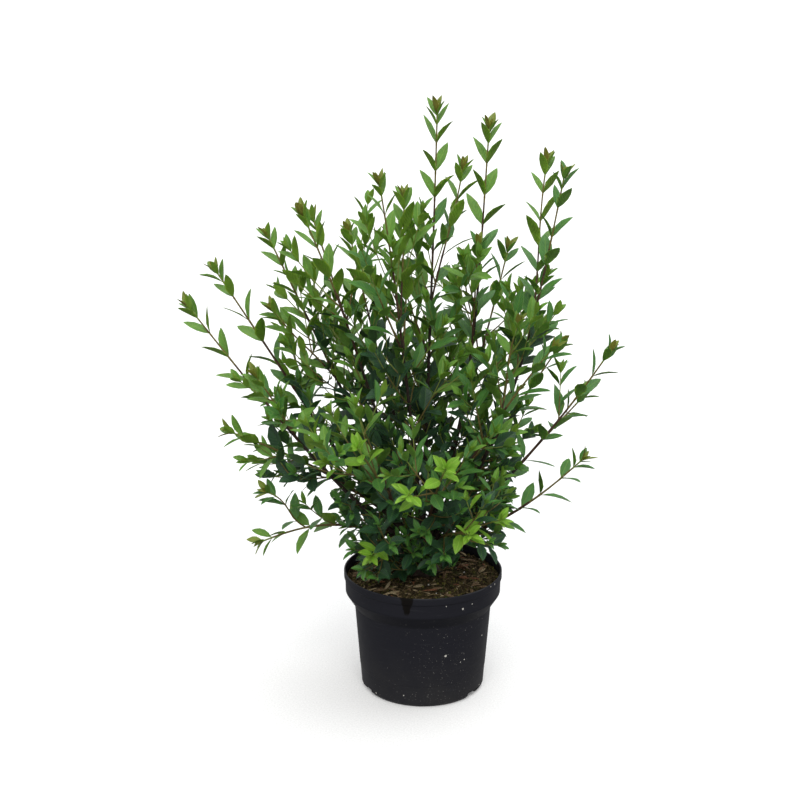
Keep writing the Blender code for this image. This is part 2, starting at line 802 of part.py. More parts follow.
def make_foliage(courses, material):
    crown = Crown(courses)
    for index, ((name, _, _, side_tips), course) in enumerate(zip(SHOOTS, courses)):
        mass = Mass(index, course, crown, random.Random(SEED * 100 + index))
        mass.grow(side_tips)
        mass.join("foliage_" + name, material)


def main():
    clear_scene()
    plastic = make_material("pot_plastic", POT_COLOUR, POT_ROUGHNESS)
    earth = make_material("compost", COMPOST_COLOUR, COMPOST_ROUGHNESS)
    bark = make_material("bark", BARK_COLOUR, BARK_ROUGHNESS)
    leaf = make_material("leaf", LEAF_COLOUR, LEAF_ROUGHNESS)
    make_pot(plastic)
    make_compost(earth)
    make_stem(bark)
    courses = shoot_courses()
    make_boughs(courses, bark)
    make_foliage(courses, leaf)


main()
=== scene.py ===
"""The looks of a privet shrub in a nursery pot.

Metres, +Z up. The origin is the middle of the pot's flat underside, and -Y is the front.
Every shoot follows the course that it has in the solids. Here it grows on to side shoots,
small twigs and leaves at their real size, from the same rule of opposite pairs.
"""
import itertools
import math
import random
from collections import defaultdict

import bpy
import numpy as np
from mathutils import Matrix, Vector, noise
from mathutils.bvhtree import BVHTree


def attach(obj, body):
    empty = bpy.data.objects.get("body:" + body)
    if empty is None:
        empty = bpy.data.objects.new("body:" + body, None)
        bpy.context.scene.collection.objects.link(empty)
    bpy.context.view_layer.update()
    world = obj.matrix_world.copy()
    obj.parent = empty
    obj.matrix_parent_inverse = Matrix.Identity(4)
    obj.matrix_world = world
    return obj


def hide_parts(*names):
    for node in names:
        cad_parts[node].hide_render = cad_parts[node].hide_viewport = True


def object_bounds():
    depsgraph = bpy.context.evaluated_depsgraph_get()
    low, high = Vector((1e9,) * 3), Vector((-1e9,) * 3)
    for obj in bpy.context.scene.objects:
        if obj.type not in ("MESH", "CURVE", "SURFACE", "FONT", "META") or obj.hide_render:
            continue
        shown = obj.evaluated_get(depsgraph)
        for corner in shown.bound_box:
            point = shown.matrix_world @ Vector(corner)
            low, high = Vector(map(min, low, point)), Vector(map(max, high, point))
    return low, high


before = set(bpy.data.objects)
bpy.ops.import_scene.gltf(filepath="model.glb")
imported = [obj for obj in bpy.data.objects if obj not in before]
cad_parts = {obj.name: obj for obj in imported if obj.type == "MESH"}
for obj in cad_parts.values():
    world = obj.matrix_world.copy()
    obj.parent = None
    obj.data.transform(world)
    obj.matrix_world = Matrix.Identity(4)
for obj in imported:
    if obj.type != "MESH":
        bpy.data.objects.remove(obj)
CAD_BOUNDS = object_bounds()

# Camera
CAMERA_PLACE = (-0.0276, -1.7845, 0.8823)
CAMERA_PITCH = 16.34
LENS = 71.68
SENSOR = 36.0
FARTHEST_SEEN = 2000.0

# Pot, as in the solids
RIM_RADIUS = 0.095
POT_HEIGHT = 0.1486
LIP_Z = 0.139
BAND_TOP_RADIUS = 0.0936
BAND_FOOT_Z = 0.1225
BAND_FOOT_RADIUS = 0.0932
BODY_TOP_Z = 0.1055
BODY_TOP_RADIUS = 0.0823
CORNER_Z = 0.005
CORNER_RADIUS = 0.0743
FOOT_RADIUS = 0.0701
RING_RADIUS = 0.0601
HUB_RADIUS = 0.022
RECESS = 0.003
WALL = 0.0019
FLOOR_Z = 0.009
FLOOR_RADIUS = 0.067
LINE_Z = 0.028
LINE_STEP = 0.0004
BODY_SLOPE = (BODY_TOP_RADIUS - CORNER_RADIUS) / (BODY_TOP_Z - CORNER_Z)
LINE_RADIUS = CORNER_RADIUS + BODY_SLOPE * (LINE_Z - CORNER_Z)
POT_SEGMENTS = 160
POT_ROUNDING = 0.0009
NOTCH_ANGLES = (-35.0, -155.0, 85.0)
NOTCH_WIDTH = 0.022
NOTCH_HEIGHT = 0.0075
NOTCH_DEPTH = 0.015

# Radius and height along the pot's outside, from the hub out and up to the rim, and along its inside
POT_OUTSIDE = (
    (HUB_RADIUS, 0.0),
    (HUB_RADIUS + RECESS / 2, RECESS),
    (RING_RADIUS - RECESS / 2, RECESS),
    (RING_RADIUS, 0.0),
    (FOOT_RADIUS, 0.0),
    (CORNER_RADIUS, CORNER_Z),
    (LINE_RADIUS - LINE_STEP / 2, LINE_Z - LINE_STEP),
    (LINE_RADIUS + LINE_STEP / 2, LINE_Z + LINE_STEP),
    (BODY_TOP_RADIUS, BODY_TOP_Z),
    (BAND_FOOT_RADIUS, BAND_FOOT_Z),
    (BAND_TOP_RADIUS, LIP_Z),
    (RIM_RADIUS, LIP_Z + 0.0012),
    (RIM_RADIUS, POT_HEIGHT),
)
POT_INSIDE = (
    (FLOOR_RADIUS, FLOOR_Z),
    (CORNER_RADIUS - WALL, FLOOR_Z + 0.007),
    (BODY_TOP_RADIUS - WALL, BODY_TOP_Z + 0.001),
    (BAND_FOOT_RADIUS - WALL, BAND_FOOT_Z + 0.001),
    (RIM_RADIUS - WALL, POT_HEIGHT),
)

# Dried drip on the band
DRIP_X = -0.0199
DRIP_TAPER = 0.36
DRIP_POINT_Z = 0.1184
DRIP_FOOT_Z = 0.1265

# Specks on the pot's front: angle from the front towards the right in degrees, height, size
WALL_SPECKS = (
    (19, 0.0680, 0.0022), (38, 0.0573, 0.0012), (34, 0.0554, 0.0010), (61, 0.0779, 0.0015),
    (29, 0.1307, 0.0020), (37, 0.1340, 0.0012), (16, 0.1375, 0.0010), (-18, 0.0152, 0.0011),
    (-49, 0.0070, 0.0012), (66, 0.0090, 0.0011), (56, 0.1465, 0.0012), (62, 0.1462, 0.0013),
)
DUST_SPOTS = 640
DUST_FRONT_SHARE = 0.55
SPECK_SEED = 73
DUST_FRONT_ANGLES = (16, 20)
DUST_LOWEST = 0.004
DUST_FRONT_TOP = 0.112
DUST_RISE = 0.13
DUST_SMALLEST = 0.00028
DUST_SIZES = 0.0007

# Compost and what lies on it
COMPOST_EDGE_Z = 0.137
COMPOST_TOP_Z = 0.146
COMPOST_LUMP = 0.0014
LUMP_WAVES = 55.0
GRAIN_WAVES = 210.0
GRAIN_SHARE = 0.55
SEAT_RADIUS = 0.033
CLEARANCE = 0.0003
COMPOST_SEGMENTS = 144
COMPOST_RINGS = 34

# What lies on the compost: seed, number, inner radius and distance from the edge of each kind
CRUMBS = (31, 2600, 0.026, 0.0012)
CHIPS = (47, 200, 0.030, 0.010)
FIBRES = (53, 170, 0.028, 0.006)
MOSS_TUFTS = (61, 230, 0.034, 0.003)
PERLITE_GRAINS = (71, 34, 0.034, 0.004)
SMALLEST_CRUMB = 0.0008
CRUMB_SPREAD = 0.0024
PERLITE_SIZES = (0.0007, 0.0017)
LARGE_CHIPS = 60
LARGE_CHIP_LENGTHS = (0.010, 0.021)
CHIP_LENGTHS = (0.003, 0.009)
CHIP_WIDTHS = (0.12, 0.34)
CHIP_THICKEST = 0.0016
CHIP_PITCH = 0.22
CHIP_ROLL = 0.5
CHIP_BEND = 0.10
CHIP_ROWS = 5
FIBRE_LENGTHS = (0.006, 0.020)
FIBRE_RADII = (0.00018, 0.00036)
FIBRE_BEND = 60
FIBRE_RISE = 0.0011
FIBRE_STEPS = 6
MOSS_BLADES = (7, 16)
MOSS_HEIGHTS = (0.0020, 0.0042)
MOSS_LEANS = (0.2, 1.2)
MOSS_WIDTH = 0.0022
MOSS_LEFT_SHARE = 0.18

# Stool, as in the solids
STOOL_FOOT_RADIUS = 0.024
STOOL_WAIST_RADIUS = 0.0155
STOOL_WAIST_HEIGHT = 0.009
STOOL_SUNK = 0.002
STOOL_FOOT_RINGS = 14
STOOL_HEAD_RINGS = 30
STOOL_SIDES = 72
STOOL_TOP_ANGLE = 88.0
STOOL_UNEVEN = 0.05
HEAD_RADIUS = 0.020
HEAD_HEIGHT = 0.026
HEAD_CENTRE = Vector((0, 0, COMPOST_TOP_Z + CLEARANCE + HEAD_HEIGHT))
FLARE_LOBES = 5
FLARE_DEPTH = 0.12
STOOL_WAVES = 160.0

# Shoots, as in the solids: name, tip, how far the end turns up in degrees, side tips
SHOOTS = (
    ("tall_centre", (0.014, 0.000, 0.708), 2, ((0.046, 0.028, 0.640),)),
    ("tall_right_of_centre", (0.074, 0.030, 0.685), 5, ((0.062, -0.010, 0.560),)),
    ("tall_right", (0.156, -0.030, 0.641), 9, ((0.141, 0.030, 0.647),)),
    ("tall_left_of_centre", (-0.052, -0.070, 0.638), -3, ((-0.024, -0.020, 0.616),)),
    ("left_crest", (-0.142, -0.020, 0.594), -5, ((-0.132, 0.030, 0.582),)),
    ("upper_left", (-0.187, 0.040, 0.559), 0, ((-0.181, -0.005, 0.480),)),
    ("middle_left", (-0.090, 0.070, 0.559), 3, ()),
    ("back_rise", (0.105, 0.100, 0.534), 6, ((0.050, 0.110, 0.520),)),
    ("left_reach_upper", (-0.251, 0.040, 0.517), 0, ((-0.176, 0.100, 0.440),)),
    ("left_reach", (-0.275, -0.030, 0.489), 4, ((-0.196, -0.075, 0.420),)),
    ("left_low", (-0.236, -0.040, 0.337), -12, ()),
    ("left_drooping", (-0.205, -0.030, 0.185), -30, ((-0.195, -0.055, 0.270),)),
    ("right_reach", (0.224, 0.000, 0.431), 7, ((0.205, 0.060, 0.360),)),
    ("right_low", (0.194, -0.040, 0.311), 12, ()),
    ("right_shoulder", (0.174, 0.070, 0.420), -4, ()),
    ("front_right_rise", (0.147, -0.100, 0.457), -6, ((0.107, -0.070, 0.480),)),
    ("front_left", (-0.079, -0.160, 0.361), 0, ((-0.120, -0.120, 0.330),)),
    ("front_centre", (0.023, -0.185, 0.343), -5, ((-0.023, -0.190, 0.312),)),
    ("front_low_right", (0.055, -0.160, 0.250), -12, ((0.096, -0.130, 0.262),)),
    ("front_low_left", (-0.067, -0.125, 0.205), -22, ()),
    ("back_centre", (0.010, 0.180, 0.440), 0, ((0.060, 0.170, 0.410),)),
    ("back_left", (-0.116, 0.170, 0.427), 0, ((-0.060, 0.190, 0.380),)),
    ("back_right", (0.124, 0.180, 0.415), 0, ()),
    ("back_low_left", (-0.130, 0.150, 0.285), -5, ()),
    ("back_low_right", (0.090, 0.180, 0.275), -5, ((0.150, 0.120, 0.290),)),
)
SEED = 12
PATH_STEPS = 32
START_HANDLE = 0.30
END_HANDLE = 0.35
SIDE_LEAVES_AT = 0.62
HIGHEST_FORK = 0.8
SIDE_HANDLE = 0.35
SIDE_STEPS = 10
SIDE_THICKNESS = 0.8
HEAD_GAP_ANGLE = 21.0
LOWEST_ANGLE = 3.0
STEEPEST_ANGLE = 89.0
HEAD_ROUNDS = 200
PATH_APART = 0.020
PATH_ROUNDS = 60
PATH_SPREAD = 0.34
PATH_PUSH = 0.15
PATH_KEPT = 0.6
PATH_EASED = 0.2
WOBBLE = 0.003
LONGEST_SHOOT = 0.5
TIP_REACH = 0.018
FIRST_NODE = 0.018
TAPER_POWER = 1.25
DIRECTION_STEP = 0.004

# Boughs
BOUGH_SHARE = 0.27
BOUGH_SHORTEST = 0.045
BOUGH_LONGEST = 0.120
BOUGH_THICK = 0.0031
BOUGH_THIN = 0.0022
BOUGH_SIDES = 14
BOUGH_RING_STEP = 0.002
BOUGH_SUNK = 0.003
BOUGH_SWELL = 0.55
BOUGH_SWELL_FADE = 0.9
BOUGH_ROOT_SWELL = 1.15
BARK_RELIEF = 0.00022
FURROWS_ROUND = 2.2
FURROWS_ALONG = 45.0
WART_WAVES = 620.0
WART_LEVEL = 0.35
WART_HEIGHT = 1.8
STEM_TIP_RADIUS = 0.0009

# Leaf pairs from a twig's tip back: distance from the tip, leaf length, slope in degrees
TIP_PAIRS = (
    (0.0000, 0.0150, 12.0),
    (0.0010, 0.0212, 25.0),
    (0.0135, 0.0290, 35.0),
    (0.0345, 0.0345, 37.0),
    (0.0670, 0.0385, 38.0),
)
LEADER_PAIR = (0.0026, 0.0225, 31.0)
NODE_GAP = 0.0315
GAP_SPREAD = 0.08
GAP_POWER = 1.25
GAP_SIZES = (0.92, 1.08)
BARE_START = 0.008
FIRST_TURN_SPREAD = 0.45
LEADER_SIZES = (0.98, 1.08)
FULL_LEAF = 0.0400
YOUNGEST_OLD_SLOPE = 39.0
OLD_SLOPE = 56.0
SLOPE_GROWTH = 90.0
LEAST_SLOPE = 4.0
FORK_SLOPE = 60.0
SLOPE_SPREAD = 7.0
TURN_SPREAD = 9.0
ROLL_SPREAD = 12.0
LENGTH_SPREAD = 0.10
BREADTH_SPREAD = 0.16
LEAF_TRIES = (1.0, 0.96, 0.92, 0.87, 0.81, 0.74, 0.68)
LEAF_LIFT = 0.28
LEVEL_FACE = 0.28
LOW_LEVEL_FACE = 0.25
LEVEL_TWIG_FACE = 0.35
FRESH_SIZE = 0.90
FRESH_AGES = 4
YOUNG_AGES = 3
TUFT_AGES = 2
YOUNG_ARCH = (6.0, 24.0)
OLD_ARCH = (10.0, 36.0)
YOUNG_FOLD = (10.0, 26.0)
OLD_FOLD = (5.0, 17.0)

# Leaves are smaller and open wider on the low twigs, in the shade
SMALL_UNDER = 0.18
LARGE_OVER = 0.43
SMALLEST_LEAF = 0.80
OPENING = 20.0

# Colour by place: which sprays are fresh, how much painted light a spray gets, and which old leaves inside
# the crown are darker, partly their own colour and partly painted shade
FRESH_UNDER_Z = 0.37
FRESH_BEFORE_Y = -0.07
FRESH_CHANCE = 0.06
LIT_FROM_Z = 0.20
LIT_RISE = 0.30
HEIGHT_WEIGHT = 0.60
OUTWARD_WEIGHT = 0.40
LIGHT_SPREAD = 0.14
DEEP_UNDER = 0.50
MID_UNDER = 0.68
DEEP_CHANCE = 0.30
LIGHT_CHANCE = 0.60
LIGHT_CHANCE_FALL = 2.2
LIGHT_CHANCES = (0.18, 0.95)
SHADED_LEVELS = (0.45, 0.90)
SHADED_TOP_LOSS = 0.6
SHADED_CHANCE_LOSS = 1.5
OLD_AGE = 3
OLDEST_PALE = 5

# Twigs that leave the shoots: slope, size beside the shoot's, lengths, and then the chance of each,
# how far up the shoot they grow and their radius
SIDE_TWIGS = (37.0, 1.03, (0.050, 0.125), 0.80, 0.72, 0.00095)
SMALL_TWIGS = (42.0, 0.99, (0.024, 0.056), 0.52, 0.75, 0.00070)
LOW_TWIGS = (55.0, 1.0, (0.045, 0.095))
LOW_CHANCE = 0.80
LOW_START = 0.020
LOW_GAP = 0.011
LOW_TRIES = 3
SIDE_RADIUS = 0.00095
SUCKERS = 26
SUCKER_SPREAD = 0.3
SIDE_TURN_SPREAD = 0.2
SUCKER_RISE = (5.0, 50.0)
SUCKER_HEIGHTS = (0.150, 0.158)
SUCKER_LENGTHS = (0.035, 0.070)
SHORTEST_SHARE = 0.45
SHORTENING = 0.85
SIDE_TILTS = (-6.0, 10.0)
THIN_FROM = 0.40
THIN_TO = 0.53
TOP_THINNING = 0.90
TOP_POKING_OUT = 0.35
TOP_LENGTHENING = 0.45
TOP_STEEPENING = 12.0
TWIG_RISE = 0.20
TWIG_RISES = (0.5, 1.3)
TWIG_SWAY = 0.06
TWIG_STEPS = 8
TWIG_ROOT = 0.006
TWIG_THICKNESS = 0.011
TWIG_TESTS = (0.3, 0.55, 0.8, 1.0)
TWIG_TIP_RADIUS = 0.00050
TWIG_SIDES = 6
TWIG_RING_STEP = 0.010
RINGS_APART = 0.0004
SWELL = 0.22
SWELL_LENGTH = 0.0012

# The dense body of the crown, which side shoots keep to: the centre and radii of its parts
BODY_PARTS = (
    ((0.002, 0.000, 0.255), (0.104, 0.165, 0.112)),
    ((-0.030, 0.000, 0.355), (0.140, 0.175, 0.130)),
    ((-0.058, 0.000, 0.440), (0.100, 0.140, 0.120)),
    ((0.012, 0.000, 0.490), (0.060, 0.130, 0.080)),
    ((0.118, 0.000, 0.438), (0.030, 0.100, 0.060)),
    ((-0.150, 0.000, 0.302), (0.040, 0.080, 0.042)),
)
BODY_UNEVEN = 0.20
BODY_WAVES = 14.0
OUTEST = 1.45
OUTSIDE_CHANCE = 0.12
OUTSIDE_LENGTH = 0.050

# Space
SIDE_SLACK = 0.012
LEAF_SLACK = 0.022
BOUNDS_SLACK = 0.004
HEAD_SLACK = 0.001
RIM_OUT = 0.140
RIM_IN = 0.084
OVER_RIM_Z = 0.151
OVER_COMPOST_Z = 0.1475
OPEN_FROM_X = 0.005
OPEN_TO_X = 0.050
OPEN_RISE = 0.034
SKIRT_FROM_Y = 0.050
SKIRT_TO_Y = 0.130
SKIRT_SLOPE = 0.45
ROOM_CELL = 0.022
PRISM_LENGTH = 0.012
PRISM_MARGIN = 0.0004

# Leaf form
LEAF_STATIONS = (0.0, 0.06, 0.20, 0.42, 0.66, 0.87)
OUTLINE_STATIONS = (0.04, 0.35, 0.72, 1.0)
OUTLINE_MARGIN = 1.12
LEAF_THICKNESS = 0.00034
FULLY_THICK_LENGTH = 0.022
STALK_SHARE = 0.05
BASE_POWERS = (0.78, 0.95)
TIP_POWERS = (0.86, 1.10)
EDGE_WAVE = 0.025
EDGE_WAVES = 1.6
SIDE_SWING = 0.06
PETIOLE_HALF_WIDTH = 0.00055
PETIOLE_END = 0.3
TIP_WIDTH_SHARE = 0.35
RIB_HALF_WIDTH = 0.00026
WIDEST_RIB_SHARE = 0.4
RIB_DEPTH = 0.00008
HALF_WAY = 0.52
HALF_WAY_LIFT = 0.50
HALF_WAY_BULGE = 0.35
PIECE_LEAVES = 2300
VEIN_SWEEP = 0.42
VEIN_WAVES = 58.0
VEIN_SHARPNESS = 6.0

# Points round a leaf's section, from the left edge over the upper side and back underneath
BLADE, RIB, UNDER = 0, 1, 2
RING_SLOTS = (BLADE, BLADE, RIB, BLADE, BLADE, UNDER, UNDER)
RING_ACROSS = (0.0, 0.24, 0.48, 0.52, 0.76, 1.0, 0.5)
RING = len(RING_SLOTS)

# Sprays of leaf, by colour: upper side, underside, rib, and width beside length
LEAF_KINDS = {
    # deep and light are partly the leaves' own darker and paler colours, and partly painted shade and
    # painted light
    "deep": ((0.017, 0.058, 0.022), (0.036, 0.088, 0.024), (0.052, 0.115, 0.034), 0.46),
    "mid": ((0.057, 0.175, 0.030), (0.100, 0.212, 0.024), (0.130, 0.260, 0.045), 0.385),
    "light": ((0.106, 0.242, 0.028), (0.150, 0.272, 0.022), (0.190, 0.310, 0.050), 0.365),
    "fresh": ((0.165, 0.345, 0.024), (0.210, 0.370, 0.026), (0.260, 0.430, 0.060), 0.41),
    "young": ((0.165, 0.220, 0.030), (0.205, 0.190, 0.026), (0.240, 0.230, 0.040), 0.37),
}

# Other colours, each from dark to pale
TWIG_COLOURS = (
    ("twig_dark", (0.020, 0.014, 0.012), (0.048, 0.032, 0.024)),
    ("twig_red_brown", (0.045, 0.024, 0.015), (0.098, 0.052, 0.029)),
    ("twig_olive", (0.110, 0.088, 0.026), (0.190, 0.150, 0.045)),
    ("twig_green", (0.150, 0.190, 0.040), (0.210, 0.260, 0.060)),
)
TWIG_AGES = (0.74, 0.44, 0.20)
OLD_LENGTH = 0.30
OLDER_UNDER_Z = 0.45
OLDER_BY_HEIGHT = 0.8
LEADER_OLDER = 0.14
BARK_COLOURS = ("bark", (0.022, 0.015, 0.012), (0.065, 0.045, 0.034))
EARTH_COLOURS = ("compost", (0.016, 0.013, 0.006), (0.100, 0.078, 0.034))
CRUMB_COLOURS = (
    ("crumb_black", (0.013, 0.010, 0.006), (0.050, 0.037, 0.019)),
    ("crumb_brown", (0.050, 0.036, 0.018), (0.150, 0.110, 0.060)),
    ("crumb_olive", (0.075, 0.072, 0.016), (0.190, 0.180, 0.046)),
)
CHIP_COLOURS = (
    ("chip_red", (0.100, 0.042, 0.022), (0.280, 0.130, 0.070)),
    ("chip_brown", (0.085, 0.056, 0.030), (0.260, 0.175, 0.100)),
    ("chip_straw", (0.220, 0.170, 0.095), (0.500, 0.400, 0.250)),
)
FIBRE_COLOURS = (
    ("fibre_straw", (0.130, 0.100, 0.048), (0.260, 0.200, 0.110)),
    ("fibre_brown", (0.060, 0.036, 0.020), (0.120, 0.075, 0.040)),
)
MOSS_COLOURS = (("moss_olive", (0.130, 0.125, 0.020)), ("moss_green", (0.055, 0.085, 0.014)))
PERLITE_COLOUR = (0.62, 0.60, 0.55)
DUST_COLOUR = (0.115, 0.110, 0.105)
PLASTIC_COLOUR = (0.0132, 0.0136, 0.0190)
PLASTIC_DUSTY = (0.034, 0.033, 0.032)
PLASTIC_SPOT = (0.055, 0.055, 0.055)
# Painted shade on the step under the band
PLASTIC_SHADED = (0.0105, 0.0107, 0.0148)
PLASTIC_SCUFFED = (0.036, 0.037, 0.042)
# Painted highlight on the rim's top edge
PLASTIC_RIM_HIGHLIGHT = (0.090, 0.090, 0.100)
DRIP_COLOUR = (0.0045, 0.0036, 0.0030)

# Stage and light
FLOOR_HALF = 600.0
FLOOR_COLOUR = 0.85
FLOOR_GLOW = 0.088
SKY_STOPS = ((0.475, 0.34), (0.487, 1.0), (0.503, 1.0), (0.506, 0.85))
LAMPS = (
    ("key", (-0.05, -1.28, 1.35), 35.0, 1.50, (1.0, 0.99, 0.96)),
    ("overhead", (0.6, 0.3, 3.0), 50.0, 1.2, (0.97, 0.99, 1.0)),
)


# Small helpers

def clamp(value, low=0.0, high=1.0):
    return min(max(value, low), high)


def make_mesh(name, vertices, faces, materials=(), face_slots=None, uvs=None):
    """One object from arrays of points and faces, with a material slot for each face."""
    mesh = bpy.data.meshes.new(name)
    mesh.from_pydata(np.asarray(vertices, dtype=float).tolist(), [], faces)
    for material in materials:
        mesh.materials.append(material)
    if face_slots is not None:
        mesh.polygons.foreach_set("material_index", np.asarray(face_slots, dtype=np.int32))
    if uvs is not None:
        corners = np.empty(len(mesh.loops), dtype=np.int32)
        mesh.loops.foreach_get("vertex_index", corners)
        layer = mesh.uv_layers.new(name="leaf")
        layer.data.foreach_set("uv", np.asarray(uvs, dtype=np.float32)[corners].ravel())
    mesh.update()
    item = bpy.data.objects.new(name, mesh)
    bpy.context.collection.objects.link(item)
    return item


def smooth(item, degrees):
    item.data.shade_smooth()
    item.data.set_sharp_from_angle(angle=math.radians(degrees))


class Heap:
    """Many small shapes gathered into one mesh."""

    def __init__(self):
        self.vertices = []
        self.faces = []
        self.slots = []
        self.uvs = []
        self.count = 0

    def add(self, points, faces, slots=0, uvs=None):
        """One more shape. Its slots are one number, or a list with one for each face."""
        self.vertices.append(np.asarray(points, dtype=float))
        self.faces.extend(tuple(index + self.count for index in face) for face in faces)
        self.slots.extend(slots if isinstance(slots, list) else [slots] * len(faces))
        self.count += len(points)
        if uvs is not None:
            self.uvs.append(uvs)

    def build(self, name, materials, degrees=40):
        uvs = np.concatenate(self.uvs) if self.uvs else None
        item = make_mesh(name, np.concatenate(self.vertices), self.faces, materials, self.slots, uvs)
        smooth(item, degrees)
        return item


def bands(rings, sides):
    """Faces between each ring of points and the next."""
    faces = []
    for low in range(0, (rings - 1) * sides, sides):
        for side in range(sides):
            after = (side + 1) % sides
            faces.append((low + side, low + after, low + sides + after, low + sides + side))
    return faces


def tube_faces(rings, sides):
    """The faces of a closed tube: one end, the bands and the other end."""
    last = (rings - 1) * sides
    return [tuple(reversed(range(sides))), *bands(rings, sides), tuple(range(last, last + sides))]


# Materials

class Nodes:
    """Shader nodes, made and linked by the names of their entries."""

    def __init__(self, tree):
        self.tree = tree

    def enter(self, entry, value):
        """Gives an entry its number, its colour or its link."""
        if isinstance(value, bpy.types.NodeSocket):
            self.tree.links.new(value, entry)
        else:
            entry.default_value = (*value, 1.0) if entry.type == "RGBA" else value

    def give(self, node, **entries):
        for name, value in entries.items():
            self.enter(node.inputs[name.replace("_", " ")], value)
        return node

    def node(self, kind, **entries):
        return self.give(self.tree.nodes.new("ShaderNode" + kind), **entries)

    def parts_of(self, place):
        return self.node("SeparateXYZ", Vector=place).outputs

    def ramp(self, factor, stops):
        """A factor turned into a grey value by (place, value) stops."""
        node = self.node("ValToRGB", Fac=factor)
        elements = node.color_ramp.elements
        while len(elements) < len(stops):
            elements.new(0.5)
        for element, (place, value) in zip(elements, stops):
            element.position = place
            element.color = (value, value, value, 1.0)
        return node.outputs["Color"]


class Paint(Nodes):
    """A procedural material built up node by node round one shader."""

    def __init__(self, name, colour, roughness, gloss=0.25):
        self.material = bpy.data.materials.new(name)
        self.material.use_nodes = True
        super().__init__(self.material.node_tree)
        self.shader = self.tree.nodes["Principled BSDF"]
        self.give(self.shader, Base_Color=colour, Roughness=roughness, Specular_IOR_Level=gloss)
        self.place = self.node("TexCoord").outputs["Object"]

    def noise(self, scale, detail=3.0, roughness=0.5, place=None):
        node = self.node("TexNoise", Vector=place or self.place, Scale=scale, Detail=detail,
                         Roughness=roughness)
        return node.outputs["Fac"]

    def stretched(self, scale):
        return self.node("Mapping", Vector=self.place, Scale=scale).outputs["Vector"]

    def mix(self, factor, first, second):
        """Two colours mixed by a factor. Each is a colour or a socket."""
        node = self.node("Mix")
        node.data_type = "RGBA"
        for index, value in ((0, factor), (6, first), (7, second)):
            self.enter(node.inputs[index], value)
        return node.outputs[2]

    def sums(self, operation, *values):
        node = self.node("Math")
        node.operation = operation
        for entry, value in zip(node.inputs, values):
            self.enter(entry, value)
        return node.outputs[0]

    def tint(self, factor, dark, pale, stops=None):
        """The colour goes from dark to pale with the factor, or between its two stops."""
        if stops:
            factor = self.ramp(factor, tuple(zip(stops, (0.0, 1.0))))
        self.give(self.shader, Base_Color=self.mix(factor, dark, pale))

    def rough(self, factor, low, high):
        """Roughness from low to high as the factor goes from 0 to 1."""
        node = self.node("MapRange", Value=factor, To_Min=low, To_Max=high)
        self.give(self.shader, Roughness=node.outputs[0])

    def bump(self, height, strength, distance, **below):
        """Relief, over the normal below it if that is given."""
        node = self.node("Bump", Height=height, Strength=strength, Distance=distance, **below)
        self.give(self.shader, Normal=node.outputs[0])
        return node.outputs[0]


def shade(colour, factor):
    return tuple(part * factor for part in colour)


def blade_material(name, colour, roughness, vein_depth):
    """A leaf's blade: faint mottling, side veins that rise towards the edge, and a soft gloss."""
    paint = Paint(name, colour, roughness, 0.40)
    paint.give(paint.shader, Subsurface_Weight=0.25, Subsurface_Radius=(0.5, 0.8, 0.2),
               Subsurface_Scale=0.001)
    paint.tint(paint.noise(70.0), shade(colour, 0.84), shade(colour, 1.17), (0.32, 0.70))
    paint.rough(paint.noise(240.0, 2.0), roughness - 0.06, roughness + 0.10)
    chart = paint.node("UVMap")
    chart.uv_map = "leaf"
    across, along, _ = paint.parts_of(chart.outputs["UV"])
    from_rib = paint.sums("ABSOLUTE", paint.sums("SUBTRACT", across, 0.5))
    sweep = paint.sums("SUBTRACT", along, paint.sums("MULTIPLY", from_rib, VEIN_SWEEP))
    waves = paint.sums("SINE", paint.sums("MULTIPLY", sweep, VEIN_WAVES))
    raised_waves = paint.sums("MULTIPLY_ADD", waves, 0.5, 0.5)
    ridges = paint.sums("POWER", raised_waves, VEIN_SHARPNESS)
    fine = paint.bump(paint.noise(900.0, 2.0), 0.10, 0.0002)
    paint.bump(ridges, vein_depth, 0.0005, Normal=fine)
    return paint.material


def plain_grain(name, colour, roughness=0.9, grain=500.0, darkest=0.75, fine=1200.0, relief=(0.3, 0.0003)):
    """A small thing's own colour with a light grain in it."""
    paint = Paint(name, colour, roughness)
    paint.tint(paint.noise(grain), shade(colour, darkest), shade(colour, 1.15))
    paint.bump(paint.noise(fine), *relief)
    return paint.material


def bark_material(name, dark, pale, roughness):
    """Young bark: streaks along the wood, small pale pores and fine relief."""
    paint = Paint(name, dark, roughness)
    streaks = paint.noise(260.0, 5.0, 0.65)
    paint.tint(streaks, dark, pale, (0.40, 0.66))
    paint.rough(streaks, roughness - 0.12, roughness + 0.1)
    paint.bump(paint.noise(800.0, 4.0), 0.35, 0.0004)
    return paint.material


def earth_material(name, dark, pale):
    paint = Paint(name, dark, 0.95, 0.08)
    grains = paint.noise(420.0, 6.0, 0.7)
    paint.tint(grains, dark, pale, (0.36, 0.66))
    paint.bump(grains, 0.9, 0.0016)
    return paint.material


def chip_material(name, dark, pale):
    """A flake of bark: its fibres show as long streaks."""
    paint = Paint(name, dark, 0.85, 0.12)
    fibres = paint.noise(700.0, 4.0, 0.6, paint.stretched((1.0, 0.25, 1.0)))
    paint.tint(fibres, dark, pale, (0.35, 0.68))
    paint.bump(fibres, 0.5, 0.0006)
    return paint.material


